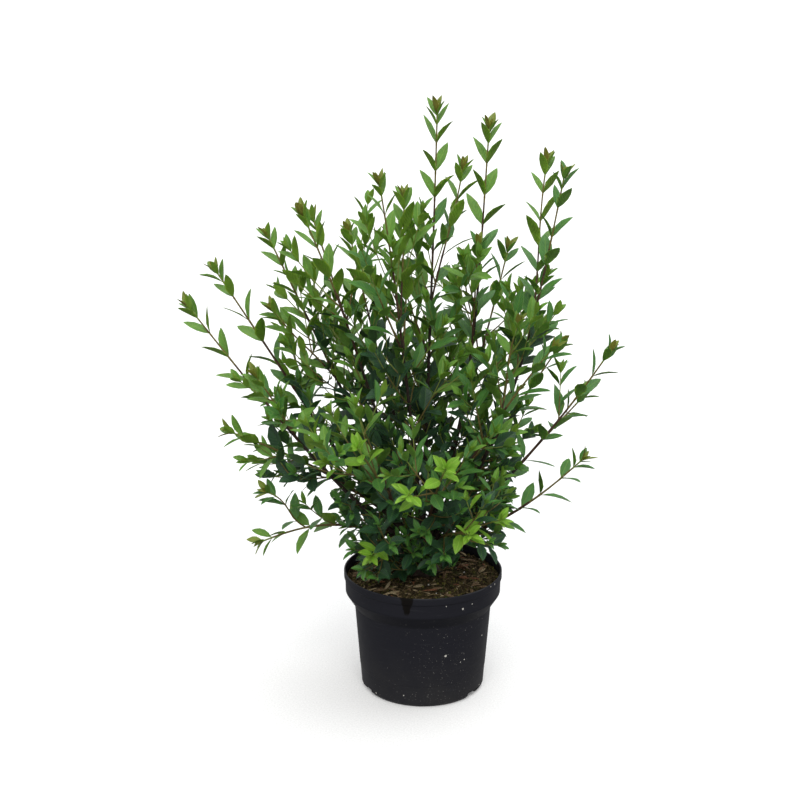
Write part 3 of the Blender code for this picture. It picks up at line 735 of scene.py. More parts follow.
def drip_mask(paint):
    """Where a drip has dried on the band: widest at the rim, on the pot's front only."""
    across, depth, height = paint.parts_of(paint.place)
    off_centre = paint.sums("ABSOLUTE", paint.sums("SUBTRACT", across, DRIP_X))
    width = paint.sums("MULTIPLY_ADD", height, DRIP_TAPER, -DRIP_TAPER * DRIP_POINT_Z)
    inside = paint.sums("DIVIDE", off_centre, paint.sums("MAXIMUM", width, 0.0001))
    ragged = paint.sums("MULTIPLY_ADD", paint.noise(300.0), 0.5, inside)
    shape = paint.ramp(ragged, ((0.95, 1.0), (1.0, 0.0)))
    above = paint.ramp(paint.sums("SUBTRACT", height, DRIP_FOOT_Z - 0.001), ((0.0, 0.0), (0.002, 1.0)))
    front = paint.sums("LESS_THAN", depth, 0.0)
    return paint.sums("MULTIPLY", paint.sums("MULTIPLY", shape, above), front)


def painted_rim_highlight_mask(paint, height):
    """A painted highlight along the rim's top edge, stronger in some places than in others."""
    edge = paint.ramp(paint.sums("SUBTRACT", height, POT_HEIGHT - 0.0014), ((0.0, 0.0), (0.0010, 1.0)))
    highlight_patches = paint.ramp(paint.noise(32.0, 2.0), ((0.40, 0.15), (0.62, 1.0)))
    return paint.sums("MULTIPLY", edge, highlight_patches)


def plastic_material():
    """Black pot plastic: a faint grain, level scuffs, dust that gathers low down and pale specks, with
    painted shade on the step under the band and a painted highlight along the rim's edge.
    """
    paint = Paint("pot_plastic", PLASTIC_COLOUR, 0.42, 0.09)
    _, _, height = paint.parts_of(paint.place)
    low_down = paint.sums("SUBTRACT", 1.0, paint.sums("MULTIPLY", height, 11.0))
    dusty = paint.sums("MULTIPLY", paint.sums("MAXIMUM", low_down, 0.12), paint.noise(38.0, 4.0, 0.6))
    cells = paint.node("TexVoronoi", Vector=paint.place, Scale=420.0).outputs["Distance"]
    spots = paint.ramp(cells, ((0.05, 1.0), (0.10, 0.0)))
    spotted = paint.sums("MULTIPLY", spots, paint.ramp(paint.noise(26.0), ((0.54, 0.0), (0.66, 1.0))))
    # Painted shade on the step between the body and the band's foot, under the band's overhang
    painted_shade_under_band = paint.ramp(paint.sums("SUBTRACT", height, BODY_TOP_Z),
                            ((0.0, 0.0), (0.002, 1.0), (0.0160, 1.0), (0.0172, 0.0)))
    scuffs = paint.noise(40.0, 3.0, 0.6, paint.stretched((1.0, 1.0, 14.0)))
    colour = PLASTIC_COLOUR
    for mask, other in ((dusty, PLASTIC_DUSTY), (spotted, PLASTIC_SPOT), (painted_shade_under_band, PLASTIC_SHADED),
                        (paint.ramp(scuffs, ((0.60, 0.0), (0.70, 0.35))), PLASTIC_SCUFFED),
                        # Painted highlight along the rim's top edge
                        (painted_rim_highlight_mask(paint, height), PLASTIC_RIM_HIGHLIGHT)):
        colour = paint.mix(mask, colour, other)
    paint.tint(drip_mask(paint), colour, DRIP_COLOUR)
    paint.rough(paint.noise(55.0, 4.0, 0.6), 0.34, 0.56)
    grain = paint.bump(paint.noise(1500.0, 2.0), 0.10, 0.0002)
    paint.bump(paint.noise(24.0, 2.0), 0.22, 0.0012, Normal=grain)
    return paint.material


# Pot

BOX_FACES = [(0, 2, 3, 1), (4, 5, 7, 6), (0, 1, 5, 4), (2, 6, 7, 3), (0, 4, 6, 2), (1, 3, 7, 5)]


def box_corners(half):
    return [(x, y, z) for z in (-half, half) for y in (-half, half) for x in (-half, half)]


def rounded(outline, radius, steps):
    """The outline with each inner corner replaced by an arc."""
    points = [outline[0]]
    for before, corner, after in zip(outline, outline[1:], outline[2:]):
        corner = Vector(corner)
        back = Vector(before) - corner
        on = Vector(after) - corner
        turn_angle = back.angle(on)
        if turn_angle > math.radians(178):
            points.append(tuple(corner))
            continue
        cut = min(radius / math.tan(turn_angle / 2), back.length * 0.45, on.length * 0.45)
        start = corner + back.normalized() * cut
        end = corner + on.normalized() * cut
        for step in range(steps + 1):
            share = step / steps
            point = start * (1 - share) ** 2 + corner * 2 * share * (1 - share) + end * share ** 2
            points.append(tuple(point))
    points.append(outline[-1])
    return points


def turned(outline, segments):
    """Rings of points turned round Z, with a flat face at each end."""
    vertices = []
    for radius, height in outline:
        for step in range(segments):
            angle = 2 * math.pi * step / segments
            vertices.append((radius * math.cos(angle), radius * math.sin(angle), height))
    return vertices, tube_faces(len(outline), segments)


def radius_at(outline, height):
    """The radius of an outline that rises, at a height."""
    for (low_radius, low), (high_radius, high) in zip(outline, outline[1:]):
        if low <= height <= high and high > low:
            return low_radius + (high_radius - low_radius) * (height - low) / (high - low)
    return RIM_RADIUS


def notch_cutter(degrees):
    cutter = make_mesh("notch", box_corners(0.5), BOX_FACES)
    turn = Matrix.Rotation(math.radians(degrees), 4, "Z")
    size = Matrix.Diagonal((2 * NOTCH_DEPTH, NOTCH_WIDTH, 2 * NOTCH_HEIGHT, 1))
    cutter.matrix_world = turn @ Matrix.Translation((CORNER_RADIUS, 0, 0)) @ size
    return cutter


def make_pot(material):
    """The turned pot with the notches cut out of its foot."""
    outline = rounded(POT_OUTSIDE + POT_INSIDE[::-1], POT_ROUNDING, 4)
    pot = make_mesh("pot_shell", *turned(outline, POT_SEGMENTS), [material])
    cutters = [notch_cutter(degrees) for degrees in NOTCH_ANGLES]
    for cutter in cutters:
        cut = pot.modifiers.new(cutter.name, "BOOLEAN")
        cut.operation = "DIFFERENCE"
        cut.object = cutter
    graph = bpy.context.evaluated_depsgraph_get()
    made = bpy.data.meshes.new_from_object(pot.evaluated_get(graph))
    pot.modifiers.clear()
    pot.data = made
    for cutter in cutters:
        bpy.data.objects.remove(cutter, do_unlink=True)
    smooth(pot, 28)
    return pot


# Compost and what lies on it

EDGE_RADIUS = radius_at(POT_INSIDE, COMPOST_EDGE_Z) - CLEARANCE


def soil_height(x, y):
    """The compost's surface: higher round the stool, and lumpy."""
    slope = clamp((EDGE_RADIUS - math.hypot(x, y)) / (EDGE_RADIUS - SEAT_RADIUS))
    wide = noise.noise(Vector((x, y, 0.3)) * LUMP_WAVES)
    fine = noise.noise(Vector((x, y, 1.7)) * GRAIN_WAVES)
    lump = COMPOST_LUMP * (wide + GRAIN_SHARE * fine)
    return COMPOST_EDGE_Z + (COMPOST_TOP_Z - COMPOST_EDGE_Z) * slope + lump


def on_soil(x, y, lift):
    return Vector((x, y, soil_height(x, y) + lift))


def make_compost(material):
    walls = [(radius - CLEARANCE, height) for radius, height in POT_INSIDE[:-1]]
    walls[0] = (FLOOR_RADIUS - CLEARANCE, FLOOR_Z + CLEARANCE)
    rings = [(EDGE_RADIUS * (1 - ring / (COMPOST_RINGS + 1)), 0) for ring in range(COMPOST_RINGS + 1)]
    vertices, faces = turned(walls + rings, COMPOST_SEGMENTS)
    surface = len(walls) * COMPOST_SEGMENTS
    vertices[surface:] = [(x, y, soil_height(x, y)) for x, y, _ in vertices[surface:]]
    compost = make_mesh("compost_fill", vertices, faces, [material])
    smooth(compost, 60)
    return compost


def lump_shape(dice, size):
    """An uneven crumb with eight corners, and its corners pulled about."""
    points = []
    for corner in box_corners(1):
        pull = Vector([dice.uniform(0.45, 1.0) for _ in range(3)])
        points.append(Vector([a * b for a, b in zip(corner, pull)]) * size * 0.6)
    turn = Matrix.Rotation(dice.uniform(0, 6.28), 3, Vector((dice.random(), dice.random(), 1)))
    return [turn @ point for point in points]


def spot_on_soil(dice, inner, outer):
    level = math.sqrt(dice.uniform(inner * inner, outer * outer))
    angle = dice.uniform(0, 2 * math.pi)
    return level * math.cos(angle), level * math.sin(angle)


def pick(dice, *weights):
    return dice.choices(range(len(weights)), weights)[0]


def scatter(name, materials, layout, form, degrees=30):
    """One piece of many small things. The form yields the points, faces and slot of each."""
    seed, count, inner, margin = layout
    dice = random.Random(seed)
    heap = Heap()
    for number in range(count):
        x, y = spot_on_soil(dice, inner, EDGE_RADIUS - margin)
        for shape in form(dice, number, x, y):
            heap.add(*shape)
    return heap.build(name, materials, degrees)


def crumb(dice, _, x, y):
    """A crumb of compost, from dust to a lump."""
    size = SMALLEST_CRUMB + CRUMB_SPREAD * dice.random() ** 2.4
    base = on_soil(x, y, size * 0.15)
    yield [base + point for point in lump_shape(dice, size)], BOX_FACES, pick(dice, 5, 3, 1)


def perlite_grain(dice, _, x, y):
    size = dice.uniform(*PERLITE_SIZES)
    base = on_soil(x, y, size * 0.4)
    yield [base + point for point in lump_shape(dice, size)], BOX_FACES


def chip(dice, number, x, y):
    """A flake of bark: long, thin, split at the ends, and lying at any angle."""
    large = number < LARGE_CHIPS
    length = dice.uniform(*(LARGE_CHIP_LENGTHS if large else CHIP_LENGTHS))
    width = length * dice.uniform(*CHIP_WIDTHS)
    thick = min(width * 0.45, CHIP_THICKEST)
    turn = Matrix.Rotation(dice.uniform(0, 2 * math.pi), 3, "Z")
    turn = turn @ Matrix.Rotation(dice.uniform(-CHIP_PITCH, CHIP_PITCH), 3, "Y")
    turn = turn @ Matrix.Rotation(dice.uniform(-CHIP_ROLL, CHIP_ROLL), 3, "X")
    bend = dice.uniform(-CHIP_BEND, CHIP_BEND) * length
    points = []
    for row in range(CHIP_ROWS):
        share = row / (CHIP_ROWS - 1)
        taper = 1.0 - 0.75 * abs(2 * share - 1) ** 2.5
        half = width / 2 * taper * dice.uniform(0.8, 1.1)
        rise = bend * math.sin(math.pi * share)
        for side, top in ((-1, 0), (1, 0), (1, 1), (-1, 1)):
            points.append(Vector(((share - 0.5) * length + dice.uniform(-0.04, 0.04) * length,
                                  side * half + rise, top * thick * taper * dice.uniform(0.8, 1.2))))
    base = on_soil(x, y, 0.0006 + (0.0010 if large else 0.0))
    yield [base + turn @ point for point in points], tube_faces(CHIP_ROWS, 4), pick(dice, 2, 4, 5)


def fibre(dice, _, x, y):
    """A thin root or straw that curls over the compost."""
    heading = dice.uniform(0, 2 * math.pi)
    bend = dice.uniform(-FIBRE_BEND, FIBRE_BEND)
    length = dice.uniform(*FIBRE_LENGTHS)
    points = []
    for step in range(FIBRE_STEPS + 1):
        angle = heading + math.radians(bend) * step / FIBRE_STEPS
        if step:
            x += math.cos(angle) * length / FIBRE_STEPS
            y += math.sin(angle) * length / FIBRE_STEPS
        if math.hypot(x, y) > EDGE_RADIUS - 0.003:
            break
        points.append(on_soil(x, y, 0.0005 + FIBRE_RISE * math.sin(math.pi * step / FIBRE_STEPS)))
    if len(points) > 2:
        radius = dice.uniform(*FIBRE_RADII)
        yield *tube_shape(points, [radius] * len(points), 4), pick(dice, 3, 2)


def moss_tuft(dice, _, x, y):
    """A tuft of moss, mostly on the right side: small blades that fan out from one spot."""
    if dice.random() > MOSS_LEFT_SHARE + (1 - MOSS_LEFT_SHARE) * clamp((x + 0.01) / 0.06):
        return
    blades = dice.randint(*MOSS_BLADES)
    height = dice.uniform(*MOSS_HEIGHTS)
    slot = pick(dice, 3, 2)
    for _ in range(blades):
        angle = dice.uniform(0, 2 * math.pi)
        lean = dice.uniform(*MOSS_LEANS)
        spread = dice.uniform(0, MOSS_WIDTH)
        foot = on_soil(x + spread * math.cos(angle), y + spread * math.sin(angle), -0.0003)
        way = Vector((math.cos(angle) * math.sin(lean), math.sin(angle) * math.sin(lean), math.cos(lean)))
        across = way.cross(Vector((0, 0, 1))).normalized() * 0.00038
        inward = way.cross(across).normalized() * 0.00030
        points = [foot + across, foot - across, foot + inward, foot + way * height]
        yield points, [(0, 1, 2), (0, 3, 1), (1, 3, 2), (2, 3, 0)], slot


def make_specks(materials):
    """Specks stuck to the wall: the white ones that show best, and a fine grey dust all round."""
    dice = random.Random(SPECK_SEED)
    heap = Heap()
    specks = [(*speck, 0) for speck in WALL_SPECKS]
    for _ in range(DUST_SPOTS):
        front = dice.random() < DUST_FRONT_SHARE
        if front:
            degrees = dice.gauss(*DUST_FRONT_ANGLES)
            height = dice.uniform(DUST_LOWEST, DUST_FRONT_TOP)
        else:
            degrees = dice.uniform(-180, 180)
            height = DUST_LOWEST + DUST_RISE * dice.random() ** 2
        specks.append((degrees, height, DUST_SMALLEST + DUST_SIZES * dice.random() ** 4, 1))
    for degrees, height, size, slot in specks:
        angle = math.radians(degrees - 90)
        reach = radius_at(POT_OUTSIDE[4:], height) + size * 0.05
        base = Vector((reach * math.cos(angle), reach * math.sin(angle), height))
        outward = Vector((math.cos(angle), math.sin(angle), 0))
        flat = [point - outward * point.dot(outward) * 0.6 for point in lump_shape(dice, size)]
        heap.add([base + point for point in flat], BOX_FACES, slot)
    return heap.build("pot_specks", materials, 30)


# Courses of the shoots, by the same rule as the solids

def between(first, second, angle):
    """The direction at an angle from the first one towards the second."""
    return first * math.cos(angle) + second * math.sin(angle)


def raised(direction, degrees):
    """The direction tilted up by an angle, within its own upright plane."""
    level = math.hypot(direction.x, direction.y)
    elevation = math.atan2(direction.z, level) + math.radians(degrees)
    elevation = min(elevation, math.radians(STEEPEST_ANGLE))
    heading = math.atan2(direction.y, direction.x)
    return Vector((math.cos(elevation) * math.cos(heading),
                   math.cos(elevation) * math.sin(heading), math.sin(elevation)))


def head_directions():
    """Where each bough leaves the head: towards its tip, then spread evenly apart."""
    lowest = math.sin(math.radians(LOWEST_ANGLE))
    directions = [raised(Vector(tip) - HEAD_CENTRE, -lift) for _, tip, lift, _ in SHOOTS]
    for _ in range(HEAD_ROUNDS):
        for a, first in enumerate(directions):
            for b in range(a):
                second = directions[b]
                lacking = math.radians(HEAD_GAP_ANGLE) - first.angle(second)
                if lacking > 0:
                    push = (first - second).normalized() * lacking / 2
                    first = (first + push).normalized()
                    directions[b] = (second - push).normalized()
            directions[a] = first
        for index, direction in enumerate(directions):
            if direction.z < lowest:
                direction.z = lowest
                directions[index] = direction.normalized()
    return directions


def bezier(points, steps):
    course = []
    for step in range(steps + 1):
        t = step / steps
        u = 1 - t
        course.append(points[0] * u ** 3 + points[1] * 3 * u * u * t
                      + points[2] * 3 * u * t * t + points[3] * t ** 3)
    return course


def shoot_courses():
    """One smooth course for each shoot, from the head to just short of its tip."""
    dice = random.Random(SEED)
    courses = []
    for (_, tip, lift, _), direction in zip(SHOOTS, head_directions()):
        start = HEAD_CENTRE + direction * (HEAD_RADIUS + CLEARANCE)
        straight = Vector(tip) - start
        length = straight.length
        ending = raised(straight, lift)
        end = Vector(tip) - ending * TIP_REACH
        control = [start, start + direction * length * START_HANDLE,
                   end - ending * length * END_HANDLE, end]
        course = bezier(control, PATH_STEPS)
        side = ending.cross(Vector((0.3, 1, 0.2))).normalized()
        sway = side * dice.uniform(-1, 1) * WOBBLE
        for step, point in enumerate(course):
            share = step / PATH_STEPS
            course[step] = point + sway * math.sin(3 * math.pi * share) * share
        courses.append(course)
    return spread_courses(courses)


def spread_courses(courses):
    """Courses that pass too near each other are moved apart, with their ends kept."""
    points = np.array([[tuple(p) for p in course] for course in courses])
    count, steps = points.shape[:2]
    owner = np.repeat(np.arange(count), steps)
    middle = np.array(HEAD_CENTRE)
    for _ in range(PATH_ROUNDS):
        flat = points.reshape(-1, 3)
        offset = flat[:, None, :] - flat[None, :, :]
        distance = np.linalg.norm(offset, axis=2)
        reach = np.linalg.norm(flat - middle, axis=1)
        wanted = np.minimum(PATH_APART, PATH_SPREAD * np.minimum(reach[:, None], reach[None, :]))
        lacking = np.clip(wanted - distance, 0, None)
        lacking[owner[:, None] == owner[None, :]] = 0
        push = (offset / (distance[:, :, None] + 1e-9) * lacking[:, :, None]).sum(axis=1) * PATH_PUSH
        push = push.reshape(points.shape)
        push[:, [0, 1, -1]] = 0
        points = points + push
        points[:, 2:-1] = points[:, 2:-1] * PATH_KEPT + (points[:, 1:-2] + points[:, 3:]) * PATH_EASED
    return [shoot_sized(Course(course)) for course in points]


class Course:
    """A line of points that can be read at any distance along it, with its limb's radii."""

    def __init__(self, points, thick=0.0, thin=0.0):
        self.points = [Vector(point) for point in points]
        self.thick = thick
        self.thin = thin
        self.marks = [0.0]
        for before, after in zip(self.points, self.points[1:]):
            self.marks.append(self.marks[-1] + (after - before).length)
        self.length = self.marks[-1]

    def place(self, distance):
        distance = clamp(distance, 0.0, self.length)
        for index in range(1, len(self.marks)):
            if distance <= self.marks[index]:
                break
        run = self.marks[index] - self.marks[index - 1]
        share = (distance - self.marks[index - 1]) / run
        return self.points[index - 1].lerp(self.points[index], share)

    def radius(self, distance):
        """The taper is quicker low down, where the wood is older."""
        share = 1 - clamp(distance / self.length)
        return self.thin + (self.thick - self.thin) * share ** TAPER_POWER

    def direction(self, distance):
        ahead = self.place(distance + DIRECTION_STEP)
        behind = self.place(distance - DIRECTION_STEP)
        return (ahead - behind).normalized()

    def piece(self, start, end, count):
        return [self.place(start + (end - start) * step / count) for step in range(count + 1)]


def bough_length(course):
    return clamp(course.length * BOUGH_SHARE, BOUGH_SHORTEST, BOUGH_LONGEST)


def shoot_sized(course):
    """A shoot is the thicker the longer it is."""
    size = min(1.0, course.length / LONGEST_SHOOT)
    course.thick = BOUGH_THIN + (BOUGH_THICK - BOUGH_THIN) * size
    course.thin = STEM_TIP_RADIUS
    return course


def side_course(course, tip):
    """The way from a shoot to one of its side tips, leaving it part of the way up."""
    reach = (tip - course.points[0]).length
    fork = min(reach * SIDE_LEAVES_AT, course.length * HIGHEST_FORK)
    fork = max(fork, bough_length(course) + FIRST_NODE)
    start = course.place(fork)
    along = course.direction(fork)
    straight = tip - start
    ending = straight.normalized().lerp(along, 0.35).normalized()
    end = tip - ending * TIP_REACH
    leaving = straight.normalized().lerp(along, 0.2).normalized()
    control = [start, start + leaving * straight.length * SIDE_HANDLE,
               end - ending * straight.length * SIDE_HANDLE, end]
    return Course(bezier(control, SIDE_STEPS), course.radius(fork) * SIDE_THICKNESS, STEM_TIP_RADIUS)


# Tubes

def square_to(direction, hint=None):
    """Two directions square to the given one and to each other."""
    hint = hint or Vector((0, 0, 1))
    if abs(direction.dot(hint)) > 0.95:
        hint = Vector((1, 0, 0))
    first = hint.cross(direction).normalized()
    second = direction.cross(first).normalized()
    return first, second


def tube_shape(points, radii, sides, relief=None):
    """A closed tube along the points. The relief, if given, moves each point in or out."""
    vertices = []
    up = None
    for index, (point, radius) in enumerate(zip(points, radii)):
        before = points[max(index - 1, 0)]
        after = points[min(index + 1, len(points) - 1)]
        across, up = square_to((after - before).normalized(), up)
        for side in range(sides):
            angle = 2 * math.pi * side / sides
            out = between(across, up, angle)
            reach = radius + relief(point + out * radius, angle) if relief else radius
            vertices.append(point + out * reach)
    return vertices, tube_faces(len(points), sides)


def bark_relief(point, angle):
    """Long shallow furrows with small warts between them."""
    furrows = noise.noise(Vector((math.cos(angle) * FURROWS_ROUND, math.sin(angle) * FURROWS_ROUND,
                                  point.z * FURROWS_ALONG)))
    warts = max(0.0, noise.noise(point * WART_WAVES) - WART_LEVEL)
    return BARK_RELIEF * (furrows + WART_HEIGHT * warts)


def stool_shape():
    """The turned stool: a foot that flares in lobes, a waist and a round head, all a little uneven."""
    base = COMPOST_TOP_Z + CLEARANCE - STOOL_SUNK
    foot_height = STOOL_WAIST_HEIGHT + STOOL_SUNK
    lowest = -math.acos(STOOL_WAIST_RADIUS / HEAD_RADIUS)
    highest = math.radians(STOOL_TOP_ANGLE)
    outline = []
    for step in range(STOOL_FOOT_RINGS):
        share = step / STOOL_FOOT_RINGS
        radius = STOOL_WAIST_RADIUS + (STOOL_FOOT_RADIUS - STOOL_WAIST_RADIUS) * (1 - share) ** 2
        outline.append((radius, base + foot_height * share))
    for step in range(STOOL_HEAD_RINGS):
        tilt = lowest + (highest - lowest) * step / (STOOL_HEAD_RINGS - 1)
        outline.append((HEAD_RADIUS * math.cos(tilt), HEAD_CENTRE.z + HEAD_RADIUS * math.sin(tilt)))
    vertices, faces = turned(outline, STOOL_SIDES)
    shaped = []
    for x, y, z in vertices:
        fade = max(0.0, 1.0 - (z - base) / foot_height)
        swell = 1.0 + FLARE_DEPTH * fade * math.cos(FLARE_LOBES * math.atan2(y, x))
        swell += STOOL_UNEVEN * noise.noise(Vector((x, y, z * 0.5)) * STOOL_WAVES)
        shaped.append((x * swell, y * swell, z))
    return shaped, faces


def bough_shape(course):
    """The bare lower part of a shoot, swollen where it leaves the stool and sunk into it."""
    length = bough_length(course)
    steps = max(6, round(length / BOUGH_RING_STEP))
    points = course.piece(0.0, length, steps)
    points.insert(0, points[0] + (HEAD_CENTRE - points[0]).normalized() * BOUGH_SUNK)
    radii = []
    for step in range(steps + 1):
        swell = 1 + BOUGH_SWELL * math.exp(-step * BOUGH_SWELL_FADE)
        radii.append(course.radius(length * step / steps) * swell)
    radii.insert(0, radii[0] * BOUGH_ROOT_SWELL)
    return tube_shape(points, radii, BOUGH_SIDES, bark_relief)


def make_boughs(courses, material):
    heap = Heap()
    heap.add(*stool_shape())
    for course in courses:
        heap.add(*bough_shape(course))
    return heap.build("boughs_and_stool", [material], 60)


# Space

class Crown:
    """The crown's space, shared out between the shoots: each point goes to its nearest one."""

    def __init__(self, courses):
        lines = []
        for (_, _, _, side_tips), course in zip(SHOOTS, courses):
            own = [course, *(side_course(course, Vector(tip)) for tip in side_tips)]
            lines.append(np.array([tuple(point) for line in own for point in line.points]))
        self.lines = np.concatenate(lines)
        self.owners = np.repeat(np.arange(len(lines)), [len(own) for own in lines])
        low, high = CAD_BOUNDS
        self.low = np.array(low) - BOUNDS_SLACK
        self.high = np.array(high) + BOUNDS_SLACK

    def owner_at(self, point):
        return int(self.owners[np.linalg.norm(self.lines - np.array(point), axis=1).argmin()])

    def holds(self, owner, points, slack):
        """Whether all points are clear of pot, compost and stool, and in the owner's share."""
        x, y, height = points.T
        level = np.hypot(x, y)
        to_the_right = np.clip((x - OPEN_FROM_X) / (OPEN_TO_X - OPEN_FROM_X), 0, 1)
        outward = np.clip(np.abs(y), SKIRT_FROM_Y, SKIRT_TO_Y) - SKIRT_FROM_Y
        height_over = height - OPEN_RISE * to_the_right - SKIRT_SLOPE * outward
        if np.any((level < RIM_OUT) & (level > RIM_IN) & (height_over < OVER_RIM_Z)):
            return False
        if np.any((level <= RIM_IN) & (height_over < OVER_COMPOST_Z)):
            return False
        if np.any(points < self.low) or np.any(points > self.high):
            return False
        if np.any(np.linalg.norm(points - np.array(HEAD_CENTRE), axis=1) < HEAD_RADIUS + HEAD_SLACK):
            return False
        gap = np.linalg.norm(points[:, None, :] - self.lines[None, :, :], axis=2)
        mine = self.owners == owner
        return bool(np.all(gap[:, ~mine].min(axis=1) > gap[:, mine].min(axis=1) - slack))


class Room:
    """What has grown so far, in small cells, so that no leaf or twig cuts another."""

    def __init__(self):
        self.cells = defaultdict(list)
        self.trees = []

    def keys(self, points):
        low = np.floor(points.min(axis=0) / ROOM_CELL).astype(int)
        high = np.floor(points.max(axis=0) / ROOM_CELL).astype(int)
        return itertools.product(*(range(a, b + 1) for a, b in zip(low, high)))

    def add(self, points, faces):
        number = len(self.trees)
        self.trees.append(BVHTree.FromPolygons(points.tolist(), faces))
        for key in self.keys(points):
            self.cells[key].append(number)
        return number

    def cuts(self, points, faces, beside):
        tree = BVHTree.FromPolygons(points.tolist(), faces)
        near = set()
        for key in self.keys(points):
            near.update(self.cells[key])
        return any(self.trees[number].overlap(tree) for number in near - beside)


# Twigs and leaves

PRISM_FACES = [(0, 1, 4, 3), (1, 2, 5, 4), (2, 0, 3, 5), (0, 2, 1), (3, 4, 5)]
OUTLINE_FACES = [(0, 1, 2), (1, 3, 4, 2), (3, 5, 4)]


def prisms(course, start, end):
    """A twig as a row of three-sided prisms, for the test of whether things cut each other."""
    count = max(1, round((end - start) / PRISM_LENGTH))
    shapes = []
    for step in range(count):
        ends = []
        for part in (step, step + 1):
            distance = start + (end - start) * part / count
            across, up = square_to(course.direction(distance))
            for side in range(3):
                out = between(across, up, 2 * math.pi * side / 3)
                reach = course.radius(distance) + PRISM_MARGIN
                ends.append(tuple(course.place(distance) + out * reach))
        shapes.append(np.array(ends))
    return shapes


class Twig:
    """One grown twig: its course, whose share it is in, its order, its size and its colour."""

    def __init__(self, owner, course, start, order, size):
        self.owner = owner
        self.course = course
        self.start = start
        self.order = order
        self.size = size
        self.numbers = set()
        self.tuft = set()
        self.is_leader = False
        self.kind = "mid"
        self.layout = []
        self.forks = {}

    def nodes(self, dice):
        """Where its pairs sit from the tip back: distance, leaf length, slope, turn and age."""
        found = []
        turn_angle = math.pi / 4 + dice.uniform(-FIRST_TURN_SPREAD, FIRST_TURN_SPREAD)
        size_at_tip = self.size * self.size_there(self.course.points[-1].z)
        gap_size = size_at_tip ** GAP_POWER * dice.uniform(*GAP_SIZES)
        back = 0.0
        for age in itertools.count():
            if age < len(TIP_PAIRS):
                back, length, slope = TIP_PAIRS[age]
            else:
                back += NODE_GAP * (1 + dice.uniform(-GAP_SPREAD, GAP_SPREAD))
                length = FULL_LEAF
                slope = min(YOUNGEST_OLD_SLOPE + SLOPE_GROWTH * (back - TIP_PAIRS[-1][0]), OLD_SLOPE)
            distance = self.course.length - back * gap_size
            if distance < self.start + BARE_START:
                break
            size = self.size * self.size_there(self.course.place(distance).z)
            found.append((distance, length * size, slope, turn_angle, age))
            turn_angle += math.pi / 2
            if age == 1 and self.is_leader:
                back_by, length, slope = LEADER_PAIR
                found.append((distance - back_by, length * size, slope, turn_angle, 2))
                turn_angle += math.pi / 2
        return found

    def size_there(self, height):
        """Leaves shrink in the shade low down, and less so on a leader."""
        size = SMALLEST_LEAF + (1 - SMALLEST_LEAF) * height_share(height)
        return (1 + size) / 2 if self.is_leader else size


def height_share(height):
    """From 0 on the low, shaded twigs to 1 where leaves grow upright and to their full size."""
    return clamp((height - SMALL_UNDER) / (LARGE_OVER - SMALL_UNDER))


def towards_top(point):
    """From 0 in the body of the crown to 1 among its open tops."""
    return clamp((point.z - THIN_FROM) / (THIN_TO - THIN_FROM))


def body_level(point):
    """From 0 at a middle of the crown's body to 1 at its surface."""
    levels = []
    for centre, radii in BODY_PARTS:
        levels.append(math.hypot(*((a - b) / r for a, b, r in zip(point, centre, radii))))
    return min(levels)


def in_body(point):
    """Whether a point is in the dense body of the crown, whose surface is uneven."""
    return body_level(point) < 1.0 + BODY_UNEVEN * noise.noise(Vector(point) * BODY_WAVES)


